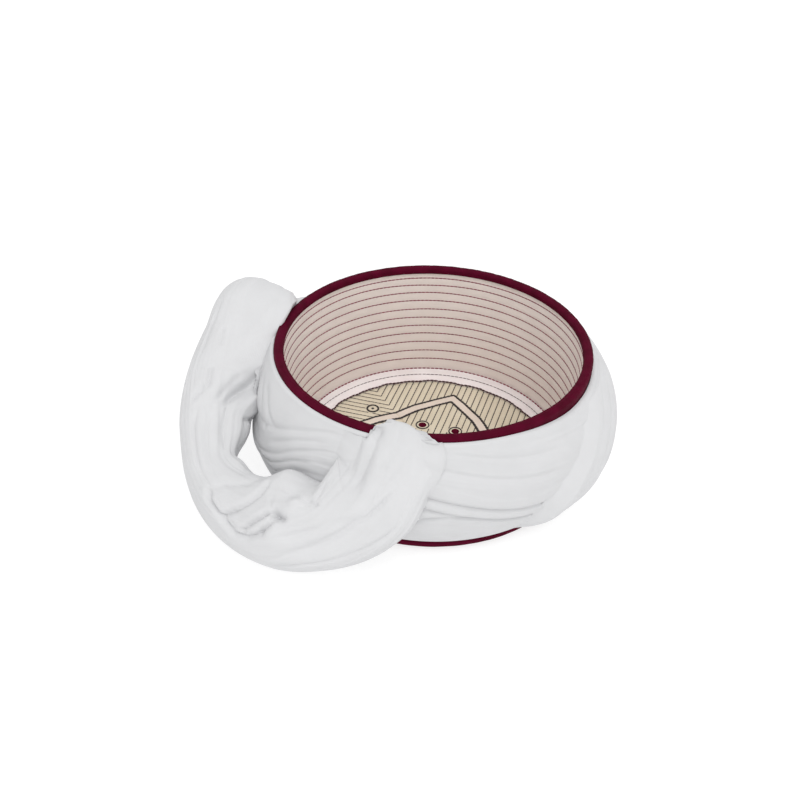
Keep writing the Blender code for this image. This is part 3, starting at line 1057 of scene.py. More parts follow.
@dataclass
class QuiltedCrown:
    """The quilted top panel, seen from inside.

    A pointed medallion lies on parallel rows that mitre on the diagonals.
    """

    turn: float = -16.1
    row_pitch: float = 4.0
    band_outer: Path2D = ((0, 62), (8.2, 55.4), (15.5, 48.8), (22, 43), (27, 36.8), (31, 31))
    band_inner: Path2D = ((0, 54.3), (7, 48.1), (13.2, 42.5), (18.7, 37.3), (23, 31.5), (26.3, 26.3))
    band_margin: float = 0.4
    dot: tuple[float, float] = (10.9, 23.6)
    dot_radius: float = 4.3
    eyelet: tuple[float, float] = (-46.8, 30.6)
    eyelet_radius: float = 4.2
    puff: float = 0.5
    cloth: float = 0.22
    tuck: float = -0.2
    seen_radius: float = 78.0
    fine: float = 0.25
    shortest_row: int = 8
    shortest_stretch: int = 7
    cells: int = 290
    band_pieces: int = 8
    band_cells: int = 48
    band_rows: int = 10
    tuck_rows: int = 2
    stitch_pitch: float = 2.45
    band_seams: int = 16
    top: float = CAP.crown_thickness
    seams: list[np.ndarray] = field(default_factory=list)

    def quarter_turned(self, points: np.ndarray, quarter: int) -> np.ndarray:
        """Turns points of the first quarter's pattern to another quarter, and to the medallion's lean.

        Args:
            points: Rows of x and y.
            quarter: How many quarters to turn them.

        Returns:
            The turned points.
        """
        angle = math.radians(90.0 * quarter + self.turn)
        spin = np.array([[math.cos(angle), math.sin(angle)], [-math.sin(angle), math.cos(angle)]])
        return points @ spin

    def band_edge(self, points: Path2D, across: np.ndarray) -> np.ndarray:
        """Gives how far out a line of the medallion lies, at a distance to the side of its point."""
        table = np.array(points, dtype=float)
        return np.interp(np.abs(across), table[:, 0], table[:, 1])

    def draw_seams(self) -> None:
        """Draws every sewn line: the two lines of the medallion and the rows outside and inside it."""
        for quarter in range(4):
            for points in (self.band_outer, self.band_inner):
                right = np.array(points, dtype=float)
                for side in (1.0, -1.0):
                    self.seams.append(self.quarter_turned(right * (side, 1.0), quarter))
        count = int(self.seen_radius / self.row_pitch)
        for quarter in range(4):
            for index in range(-count, count + 1):
                self.draw_row((index + 0.5) * self.row_pitch, quarter)

    def draw_row(self, across: float, quarter: int) -> None:
        """Draws one straight row, broken at the medallion and at its dots.

        Args:
            across: How far to the side of the medallion's point it runs.
            quarter: Which quarter it is in.
        """
        start, end = abs(across), math.sqrt(max(self.seen_radius**2 - across**2, 0.0))
        line = np.arange(start, end, self.fine)
        if len(line) < self.shortest_row:
            return
        low = self.band_edge(self.band_inner, np.array([across])) - self.band_margin
        high = self.band_edge(self.band_outer, np.array([across])) + self.band_margin
        keep = (line < low) | (line > high) | (abs(across) > self.band_outer[-1][0])
        for x in (self.dot[0], -self.dot[0]):
            keep &= np.hypot(across - x, line - self.dot[1]) > self.dot_radius + 1.0
        if quarter % 2:
            keep &= np.hypot(across - self.eyelet[1], line + self.eyelet[0]) > self.eyelet_radius + 0.6
        breaks = np.flatnonzero(np.diff(keep.astype(int)))
        for stretch in np.split(np.arange(len(line)), breaks + 1):
            if keep[stretch[0]] and len(stretch) >= self.shortest_stretch:
                ends = np.array([(across, line[stretch[0]]), (across, line[stretch[-1]])])
                self.seams.append(self.quarter_turned(ends, quarter))

    def seam_distance(self, x: np.ndarray, y: np.ndarray) -> np.ndarray:
        """Gives how far each point is from the nearest sewn line.

        Args:
            x: The points' x.
            y: The points' y.

        Returns:
            The distances.
        """
        nearest = np.full(len(x), 1e3)
        for seam in self.seams:
            for start, end in zip(seam[:-1], seam[1:]):
                run = end - start
                share = np.clip(((x - start[0]) * run[0] + (y - start[1]) * run[1]) / run.dot(run), 0, 1)
                away = np.hypot(x - start[0] - share * run[0], y - start[1] - share * run[1])
                np.minimum(nearest, away, out=nearest)
        return nearest

    def relief(self, x: np.ndarray, y: np.ndarray) -> np.ndarray:
        """Gives the height of the crown's upper face.

        Args:
            x: The points' x.
            y: The points' y.

        Returns:
            The heights, lower along the sewn lines.
        """
        near = self.seam_distance(x, y)
        pulls = Waver(61)
        swell = 1 - np.exp(-((near / 0.95) ** 1.6))
        uneven = 0.05 * pulls.at(x / 2.3 + 40, y / 2.3 + 40) + 0.07 * pulls.at(x / 6 + 40, y / 6 + 40)
        edge = smooth_step((CAP.crown_radius - np.hypot(x, y)) / 3.0)
        return self.top + (self.puff * swell + uneven - 0.25) * edge

    def place(self, along: np.ndarray, across: np.ndarray) -> np.ndarray:
        """Gives the points of the crown's upper face, a square grid pressed into a round.

        Args:
            along: Shares of the way along the square.
            across: Shares of the way across it.

        Returns:
            Points in metres.
        """
        u, v = 2 * along - 1, 2 * across - 1
        x = CAP.crown_radius * u * np.sqrt(1 - v * v / 2)
        y = CAP.crown_radius * v * np.sqrt(1 - u * u / 2)
        return np.stack([x, y, self.relief(x, y)], axis=-1) * MM

    def band_place(self, along: np.ndarray, across: np.ndarray) -> np.ndarray:
        """Gives the points of the paler cloth between the medallion's two lines.

        Args:
            along: Shares of the way round the medallion.
            across: Shares of the way over the cloth, from its inner line to its outer one and back under it.

        Returns:
            Points in metres.
        """
        number = np.floor(along * self.band_pieces).astype(int) % self.band_pieces
        share = along * self.band_pieces - np.floor(along * self.band_pieces)
        quarter, falling = number // 2, number % 2 == 0
        keys = np.arange(len(self.band_outer))
        spot = np.where(falling, 1 - share, share) * keys[-1]
        index = across * (self.band_rows + self.tuck_rows)
        on_top = index <= self.band_rows
        blend = np.where(on_top, index / self.band_rows, 1 - (index - self.band_rows) / self.tuck_rows)
        inner, outer = (
            np.column_stack([np.interp(spot, keys, column) for column in zip(*line)])
            for line in (self.band_inner, self.band_outer)
        )
        flat = inner + blend[:, None] * (outer - inner)
        flat[:, 0] = np.where(falling, -flat[:, 0], flat[:, 0])
        spots = np.empty_like(flat)
        for turned in range(4):
            here = quarter == turned
            spots[here] = self.quarter_turned(flat[here], turned)
        rise = np.where(on_top, self.cloth, self.tuck)
        return np.column_stack([spots, self.relief(spots[:, 0], spots[:, 1]) + rise]) * MM

    def build(self) -> None:
        """Makes the crown, its medallion, its black stitches, its dots and its eyelets."""
        self.draw_seams()
        bm = laid_grid(self.place, self.cells, self.cells, (0.165, 0.165))
        rim = [edge for edge in bm.edges if edge.is_boundary]
        skirt = bmesh.ops.extrude_edge_only(bm, edges=rim)["geom"]
        for vert in (item for item in skirt if isinstance(item, bmesh.types.BMVert)):
            vert.co.z = 0.0
        close_ends(bm)
        dress(finished("quilted_crown", bm, Finish.CROWN_LINING.made(), 40.0), "crown_lining", "crown")
        band_rows = self.band_rows + self.tuck_rows
        band = laid_grid(self.band_place, self.band_pieces * self.band_cells, band_rows, (0.36, 0.008))
        dress(finished("medallion_band", band, Finish.BAND_CLOTH.made(), 60.0), "crown_lining")
        self.sew_seams()
        self.add_dots()

    def sew_seams(self) -> None:
        """Sews black stitches along every line, heavier ones on the two lines of the medallion."""
        band, rows = self.seams[: self.band_seams], self.seams[self.band_seams :]
        for name, seams, stitches, lift in (
            ("crown_stitches", rows, Stitching(3.1, 0.8, 0.55), 0.06),
            ("medallion_stitches", band, Stitching(3.6, 2.0, 0.8), 0.45),
        ):
            for seam in seams:
                self.sew_seam(stitches, seam, lift)
            dress(stitches.piece(name, Finish.BLACK_THREAD.made()), "crown_lining")

    def sew_seam(self, stitches: Stitching, seam: np.ndarray, lift: float) -> None:
        """Sews stitches along one line.

        Args:
            stitches: Where they go.
            seam: The line's points.
            lift: Millimetres from the cloth to their middles.
        """
        for start, end in zip(seam[:-1], seam[1:]):
            run = end - start
            count = max(round(float(np.hypot(*run)) / self.stitch_pitch), 1)
            shares = (np.arange(count) + 0.5) / count
            spots = start + shares[:, None] * run
            height = self.relief(spots[:, 0], spots[:, 1]) + lift
            ups = np.tile([0.0, 0.0, 1.0], (count, 1))
            stitches.sew(np.column_stack([spots, height]) * MM, np.tile([*run, 0.0], (count, 1)), ups)

    def add_dots(self) -> None:
        """Adds the worked dots inside the medallion and the eyelets outside it."""
        dots, rings = bmesh.new(), bmesh.new()
        for quarter in range(4):
            for side in (1.0, -1.0):
                dot = self.quarter_turned(np.array([[side * self.dot[0], self.dot[1]]]), quarter)[0]
                self.worked_ring(dots, dot, hole=0.0, radius=0.6 * self.dot_radius, rise=0.9)
                self.worked_ring(rings, dot, self.dot_radius - 0.7, self.dot_radius + 0.2, rise=0.5)
            if quarter % 2:
                continue
            eyelet = self.quarter_turned(np.array([self.eyelet]), quarter)[0]
            self.worked_ring(rings, eyelet, hole=3.0, radius=self.eyelet_radius + 0.1, rise=0.6)
            self.worked_ring(rings, eyelet, hole=0.0, radius=1.0, rise=0.5)
        dress(finished("crown_dots", dots, Finish.BINDING.made()), "crown_lining")
        dress(finished("crown_eyelets", rings, Finish.BLACK_THREAD.made()), "crown_lining")

    def worked_ring(
        self, bm: bmesh.types.BMesh, spot: np.ndarray, hole: float, radius: float, rise: float
    ) -> None:
        """Adds a low round of needlework.

        Args:
            bm: Where it goes.
            spot: The x and y of its middle.
            hole: The radius of its open middle, or 0.
            radius: Its outer radius.
            rise: How far it stands out.
        """
        x, y = spot
        level = self.top + self.puff - 0.3
        middle, half = (hole + radius) / 2, (radius - hole) / 2
        turns = np.linspace(0, math.pi, 7)
        outline = [(middle + half * math.cos(turn), level + rise * math.sin(turn)) for turn in turns]
        if hole == 0.0:
            outline = [(radius * math.cos(turn / 2), level + rise * math.sin(turn / 2)) for turn in turns]
        verts = [bm.verts.new(((x + away) * MM, y * MM, high * MM)) for away, high in outline]
        edges = [bm.edges.new(pair) for pair in zip(verts[:-1], verts[1:])]
        bmesh.ops.spin(
            bm,
            geom=[*verts, *edges],
            cent=(x * MM, y * MM, 0),
            axis=(0, 0, 1),
            angle=math.tau,
            steps=28,
            use_merge=True,
        )
        bmesh.ops.remove_doubles(bm, verts=bm.verts, dist=MERGE_DISTANCE)


# Turban


class WrapProfile(NamedTuple):
    """The section of the wound cloth: a share of its height, and the radius there."""

    share: float
    radius: float


class WrapEdge(NamedTuple):
    """Round the cap: how high the cloth reaches, and how much fuller the winding is."""

    azimuth: float
    height: float
    swell: float


class FlowStation(NamedTuple):
    """The heights of eight pleat lines at an azimuth."""

    azimuth: float
    foot: float
    border: float
    low: float
    groove: float
    ridge: float
    upper: float
    high: float
    top: float


@dataclass
class WoundTurns:
    """The main turns of the turban round the wall, pleated along the way that each turn runs."""

    foot: float = 6.2
    columns: int = 612
    outer_rows: int = 150
    inner_rows: int = 6
    girth: float = 100.0
    back_from: float = 150.0
    border_level: float = 9.5
    border_width: float = 3.0
    unevenness: float = 0.5
    sunk: float = 0.7
    cloth: float = 0.6
    rounding: float = 1.3
    rounded_from: float = 0.985
    rounded_share: float = 0.015
    profile: SmoothTable = field(
        default_factory=lambda: SmoothTable(
            [
                WrapProfile(0.00, 87.6),
                WrapProfile(0.06, 93.0),
                WrapProfile(0.18, 99.0),
                WrapProfile(0.36, 103.6),
                WrapProfile(0.56, 105.0),
                WrapProfile(0.74, 103.4),
                WrapProfile(0.88, 99.6),
                WrapProfile(0.97, 96.2),
                WrapProfile(1.00, 95.3),
            ]
        )
    )
    edge: SmoothTable = field(
        default_factory=lambda: SmoothTable(
            [
                WrapEdge(-180.0, 77.0, 2.0),
                WrapEdge(-120.0, 79.0, 1.0),
                WrapEdge(-60.0, 80.5, 0.0),
                WrapEdge(0.0, 80.5, 0.0),
                WrapEdge(25.0, 80.0, 0.6),
                WrapEdge(40.0, 78.0, 1.2),
                WrapEdge(55.0, 76.0, 2.0),
                WrapEdge(90.0, 76.0, 3.0),
                WrapEdge(130.0, 77.0, 3.0),
                WrapEdge(180.0, 77.0, 2.0),
            ]
        )
    )
    levels: tuple[float, ...] = (0.0, 10.0, 28.0, 38.0, 46.0, 62.0, 73.0, 84.0)
    flow: SmoothTable = field(
        default_factory=lambda: SmoothTable(
            [
                FlowStation(-180, 5.4, 13.0, 24.0, 35.0, 45.0, 56.0, 67.0, 77.0),
                FlowStation(-140, 5.4, 12.0, 21.0, 31.0, 42.0, 54.0, 66.0, 78.3),
                FlowStation(-110, 5.4, 12.5, 21.0, 30.0, 39.0, 50.0, 63.0, 79.2),
                FlowStation(-90, 5.4, 10.0, 16.0, 22.0, 29.0, 39.0, 54.0, 79.7),
                FlowStation(-72, 5.4, 9.0, 13.5, 18.5, 24.0, 34.0, 50.0, 80.2),
                FlowStation(-58, 5.4, 9.5, 16.0, 23.0, 30.0, 42.0, 59.0, 80.4),
                FlowStation(-46, 5.4, 11.0, 22.0, 34.0, 44.0, 56.5, 68.8, 80.6),
                FlowStation(-33, 5.4, 13.0, 27.0, 40.0, 50.0, 66.0, 76.3, 80.6),
                FlowStation(-10, 5.4, 15.0, 31.0, 46.0, 55.0, 69.0, 78.5, 80.6),
                FlowStation(0, 5.4, 15.0, 31.0, 42.0, 50.0, 68.4, 77.5, 80.6),
                FlowStation(35, 5.4, 13.5, 19.0, 24.5, 33.0, 55.0, 66.7, 78.7),
                FlowStation(60, 5.4, 13.0, 20.0, 28.0, 38.0, 55.0, 65.0, 75.8),
                FlowStation(90, 5.4, 14.0, 25.0, 36.0, 47.0, 57.0, 67.0, 76.0),
                FlowStation(135, 5.4, 14.0, 27.0, 39.0, 50.0, 60.0, 69.0, 77.0),
                FlowStation(180, 5.4, 13.0, 24.0, 35.0, 45.0, 56.0, 67.0, 77.0),
            ]
        )
    )
    pleats: PleatRun = PleatRun(
        seed=71, span=84.0, narrowest=3.4, widest=9.0, depth=0.6, softness=0.6, lap=0.22
    )
    fine_pleats: PleatRun = PleatRun(seed=81, span=84.0, narrowest=1.5, widest=3.4, depth=0.2, softness=0.25)
    swells: tuple[Bulge, ...] = (
        Bulge(-69.0, 0.25, 26.0, 0.27, 7.5),
        Bulge(-64.0, 0.27, 9.0, 0.09, -2.8),
        Bulge(-75.0, 0.50, 9.0, 0.12, -2.0),
    )
    creases: tuple[Crease, ...] = (
        Crease(((-12, 46.2), (0, 46.0), (20, 46.0), (44, 45.5)), 2.6, 1.5, 1.2),
        Crease(((-14, 38.2), (0, 38.0), (20, 38.0), (42, 38.0)), 2.4, 1.5, 1.1),
        Crease(((-16, 26.0), (-7, 28.5), (5, 35.5), (14, 37.5)), 2.0, 1.4, 0.9),
        Crease(((2, 73.5), (44, 73.5)), 0.9, 1.6, 0.4),
        Crease(((-6, 62.0), (46, 62.0)), 0.9, 1.6, 0.4),
        Crease(((-18, 10.4), (62, 10.4)), 0.6, 1.1, 0.6, 0.05),
        Crease(((28, 81.0), (45, 79.0), (62, 77.0)), 0.9, 1.3, 0.5),
        Crease(((34, 77.5), (50, 76.0), (64, 73.0)), 0.7, 1.3, 0.4),
        Crease(((-92, 72.0), (-58, 73.0), (-28, 73.0)), 1.1, 1.5, 0.6, 0.12),
        Crease(((-92, 61.0), (-58, 62.0), (-28, 62.0)), 0.8, 1.6, 0.45, 0.12),
        Crease(((-92, 46.0), (-58, 46.0), (-30, 46.0)), 0.8, 1.6, 0.45, 0.12),
        Crease(((-80, 54.0), (-58, 54.5), (-36, 53.0)), 0.9, 1.4, 0.5),
        Crease(((-62, 67.5), (-46, 68.0), (-34, 67.0)), 0.8, 1.4, 0.4),
        Crease(((-84, 80.0), (-80, 77.0), (-72, 68.0)), 1.2, 1.3, 0.8),
        Crease(((-79, 81.0), (-73, 78.0), (-63, 70.0)), 1.3, 1.3, 0.8),
        Crease(((-74, 82.0), (-68, 79.4), (-58, 72.0)), 1.2, 1.3, 0.7),
        Crease(((96, 62.0), (180, 64.0), (262, 59.0)), 1.4, 1.7, 0.9, 0.3),
        Crease(((98, 46.0), (150, 44.0), (264, 50.0)), 1.6, 1.7, 0.9, 0.3),
        Crease(((96, 33.0), (170, 35.0), (266, 35.0)), 1.6, 1.7, 0.9, 0.3),
        Crease(((94, 16.0), (190, 22.0), (270, 20.0)), 1.4, 1.7, 0.8, 0.3),
    )

    def top_edge(self, azimuth: np.ndarray) -> np.ndarray:
        """Gives how high the cloth reaches at an azimuth."""
        return self.edge.read("height", half_turn(azimuth))

    def share(self, azimuth: np.ndarray, height: np.ndarray) -> np.ndarray:
        """Gives a height as a share of the cloth's own height there."""
        return (height - self.foot) / (self.top_edge(azimuth) - self.foot)

    def height(self, azimuth: np.ndarray, share: np.ndarray) -> np.ndarray:
        """Gives the height at a share of the cloth's own height."""
        return self.foot + share * (self.top_edge(azimuth) - self.foot)

    def plain_radius(self, azimuth: np.ndarray, share: np.ndarray) -> np.ndarray:
        """Gives the outer radius of the winding before it is pleated.

        Args:
            azimuth: Degrees round the cap.
            share: Share of the cloth's height.

        Returns:
            The radius.
        """
        swell = self.edge.read("swell", half_turn(azimuth))
        share = np.clip(share, 0.0, 1.0)
        fuller = sum(swell.relief(half_turn(azimuth), share) for swell in self.swells)
        return self.profile.read("radius", share) + swell * 4 * share * (1 - share) + fuller

    def inner_radius(self, azimuth: np.ndarray, share: np.ndarray) -> np.ndarray:
        """Gives the radius where the cloth lies on the wall below and on the binding above."""
        height = self.height(azimuth, share)
        return CAP.wall(height) + CAP.gap + share * (CAP.binding_cloth + CAP.binding_bulge + CAP.gap)

    def flow_level(self, azimuth: np.ndarray, height: np.ndarray) -> np.ndarray:
        """Gives the place across the pleats: it is the same all along a pleat.

        Args:
            azimuth: Degrees round the cap.
            height: Height over the floor.

        Returns:
            Millimetres of cloth above its foot.
        """
        turned = half_turn(azimuth)
        lines = [self.flow.read(name, turned) for name in self.flow.fields[1:]]
        level = np.zeros_like(height)
        for number in range(len(lines) - 1):
            share = np.clip((height - lines[number]) / (lines[number + 1] - lines[number]), 0, 1)
            level += share * (self.levels[number + 1] - self.levels[number])
        return level

    def relief(self, azimuth: np.ndarray, height: np.ndarray) -> np.ndarray:
        """Gives how far the pleats and creases move the plain surface.

        Args:
            azimuth: Degrees round the cap.
            height: Height over the floor.

        Returns:
            Millimetres outwards.
        """
        level, turned = self.flow_level(azimuth, height), half_turn(azimuth)
        past_back = 0.5 * smooth_step((np.abs(turned) - self.back_from) / (180.0 - self.back_from))
        other_way = turned - np.copysign(360.0, turned)
        rise = (1 - past_back) * self.folds(turned, level) + past_back * self.folds(other_way, level)
        return rise - self.sunk + self.creased(azimuth, level)

    def folds(self, azimuth: np.ndarray, level: np.ndarray) -> np.ndarray:
        """Gives the pleats of the cloth and its soft unevenness, before they are joined at the back.

        Args:
            azimuth: Degrees round the cap, also past half a turn.
            level: Place across the pleats.

        Returns:
            Millimetres outwards.
        """
        along = np.radians(azimuth) * self.girth
        border = smooth_step((level - self.border_level) / self.border_width)
        rise = self.pleats.relief(level, along) + self.fine_pleats.relief(level, along)
        soft = self.unevenness * Waver(91).at(azimuth / 22 + 32, level / 16) * border
        return rise * (0.15 + 0.85 * border) + soft

    def creased(self, azimuth: np.ndarray, level: np.ndarray) -> np.ndarray:
        """Gives what the listed creases add, whose paths are in degrees and levels.

        Args:
            azimuth: Degrees round the cap.
            level: Place across the pleats.

        Returns:
            Millimetres outwards.
        """
        arc = math.radians(1.0) * self.girth
        total = np.zeros_like(level)
        for crease in self.creases:
            middle = (crease.path[0][0] + crease.path[-1][0]) / 2
            turned = half_turn(azimuth - middle) + middle
            total += crease.scaled(arc, 1.0).relief(turned * arc, level)
        return total

    def surface(self, azimuth: np.ndarray, share: np.ndarray) -> np.ndarray:
        """Gives the pleated outer radius.

        Args:
            azimuth: Degrees round the cap.
            share: Share of the cloth's height.

        Returns:
            The radius.
        """
        height = self.height(azimuth, share)
        radius = self.plain_radius(azimuth, share)
        radius = radius + self.relief(azimuth, height) * hump(share)
        rounded = self.rounding * np.clip((share - self.rounded_from) / self.rounded_share, 0, 1) ** 2
        return np.maximum(radius - rounded, self.inner_radius(azimuth, share) + self.cloth)

    def place(self, along: np.ndarray, across: np.ndarray) -> np.ndarray:
        """Gives the points of the turns: up their outside and down the face that lies on the cap.

        Args:
            along: Shares of the way round the cap.
            across: Shares of the way round the cloth's section.

        Returns:
            Points in metres.
        """
        azimuth = -180.0 + 360.0 * along
        total = self.outer_rows + self.inner_rows
        index = across * total
        outside = np.clip(index / self.outer_rows, 0, 1)
        inside = 1 - np.clip((index - self.outer_rows - 1) / (self.inner_rows - 2), 0, 1)
        outer = (index <= self.outer_rows) | (index >= total)
        share = np.where(index >= total, 0.0, np.where(outer, outside, inside))
        radius = np.where(outer, self.surface(azimuth, share), self.inner_radius(azimuth, share))
        return polar(azimuth, radius, self.height(azimuth, share))

    def build(self) -> None:
        """Makes the wound turns."""
        bm = laid_grid(self.place, self.columns, self.outer_rows + self.inner_rows, (0.66, 0.17))
        obj = dress(finished("wound_turns", bm, Finish.MUSLIN.made(), 75.0), "turban_cloth", "turban_wraps")


class BandSection(NamedTuple):
    """The crossing turn at a share of the wound height: its edges in degrees and its thickness."""

    share: float
    front: float
    back: float
    thickness: float


@dataclass
class CrossTurn:
    """The turn that climbs slantwise over the others on the right."""

    turns: WoundTurns
    edge: float = -1.4
    front_climb: float = 0.2
    back_climb: float = 0.3
    ridge: float = 0.7
    ridge_at: float = 0.1
    ridge_width: float = 0.05
    lift: float = 0.3
    cloth: float = 0.6
    width: float = 96.0
    length: float = 90.0
    columns: int = 210
    under_columns: int = 4
    rows: int = 200
    table: SmoothTable = field(
        default_factory=lambda: SmoothTable(
            [
                BandSection(0.05, 29.5, 75.0, 4.0),
                BandSection(0.14, 31.5, 78.0, 5.6),
                BandSection(0.32, 35.5, 86.0, 5.4),
                BandSection(0.50, 40.0, 97.0, 3.8),
                BandSection(0.70, 46.0, 111.0, 2.4),
                BandSection(0.85, 52.0, 124.0, 1.6),
                BandSection(0.96, 58.5, 136.0, 1.0),
            ]
        )
    )
    pleats: PleatRun = PleatRun(
        seed=101, span=96.0, narrowest=8.0, widest=17.0, depth=2.0, softness=1.5, lap=0.35
    )
    fine_pleats: PleatRun = PleatRun(seed=111, span=96.0, narrowest=2.6, widest=6.0, depth=0.3, softness=0.6)

    def place(self, along: np.ndarray, across: np.ndarray) -> np.ndarray:
        """Gives the points of the band: over its face and back under it.

        Args:
            along: Shares of the way up the band.
            across: Shares of the way round its section, from its front edge.

        Returns:
            Points in metres.
        """
        first, last = self.table.columns[0, 0], self.table.columns[-1, 0]
        share = first + along * (last - first)
        index = across * (self.columns + self.under_columns)
        on_top = index <= self.columns
        spread = np.where(on_top, index / self.columns, 1 - (index - self.columns) / self.under_columns)
        front, back = self.table.read("front", share), self.table.read("back", share)
        azimuth = front + spread * (back - front)
        base = self.turns.plain_radius(azimuth, share) + self.lift
        flat, run = spread * self.width, share * self.length
        rise = self.pleats.relief(flat, run) + self.fine_pleats.relief(flat, run) - self.cloth
        rise = rise + self.ridge * np.exp(-(((spread - self.ridge_at) / self.ridge_width) ** 2))
        climb = smooth_step(spread / self.front_climb) * smooth_step((1 - spread) / self.back_climb)
        top = self.edge + (self.table.read("thickness", share) - self.edge + rise) * climb
        radius = base + np.where(on_top, top, self.edge - self.cloth)
        return polar(azimuth, radius, self.turns.height(azimuth, share))

    def build(self) -> None:
        """Makes the crossing turn as one closed band."""
        bm = laid_grid(self.place, self.rows, self.columns + self.under_columns, (0.08, 0.1))
        close_ends(bm)
        obj = dress(finished("crossing_turn", bm, Finish.MUSLIN.made(), 75.0), "turban_cloth", "cross_turn")


class TailSection(NamedTuple):
    """The rolled tail at a step of its way: its middle, its half sizes and the way that its face looks."""

    step: float
    azimuth: float
    radius: float
    height: float
    half_outer: float
    half_inner: float
    half_depth: float
    normal: float


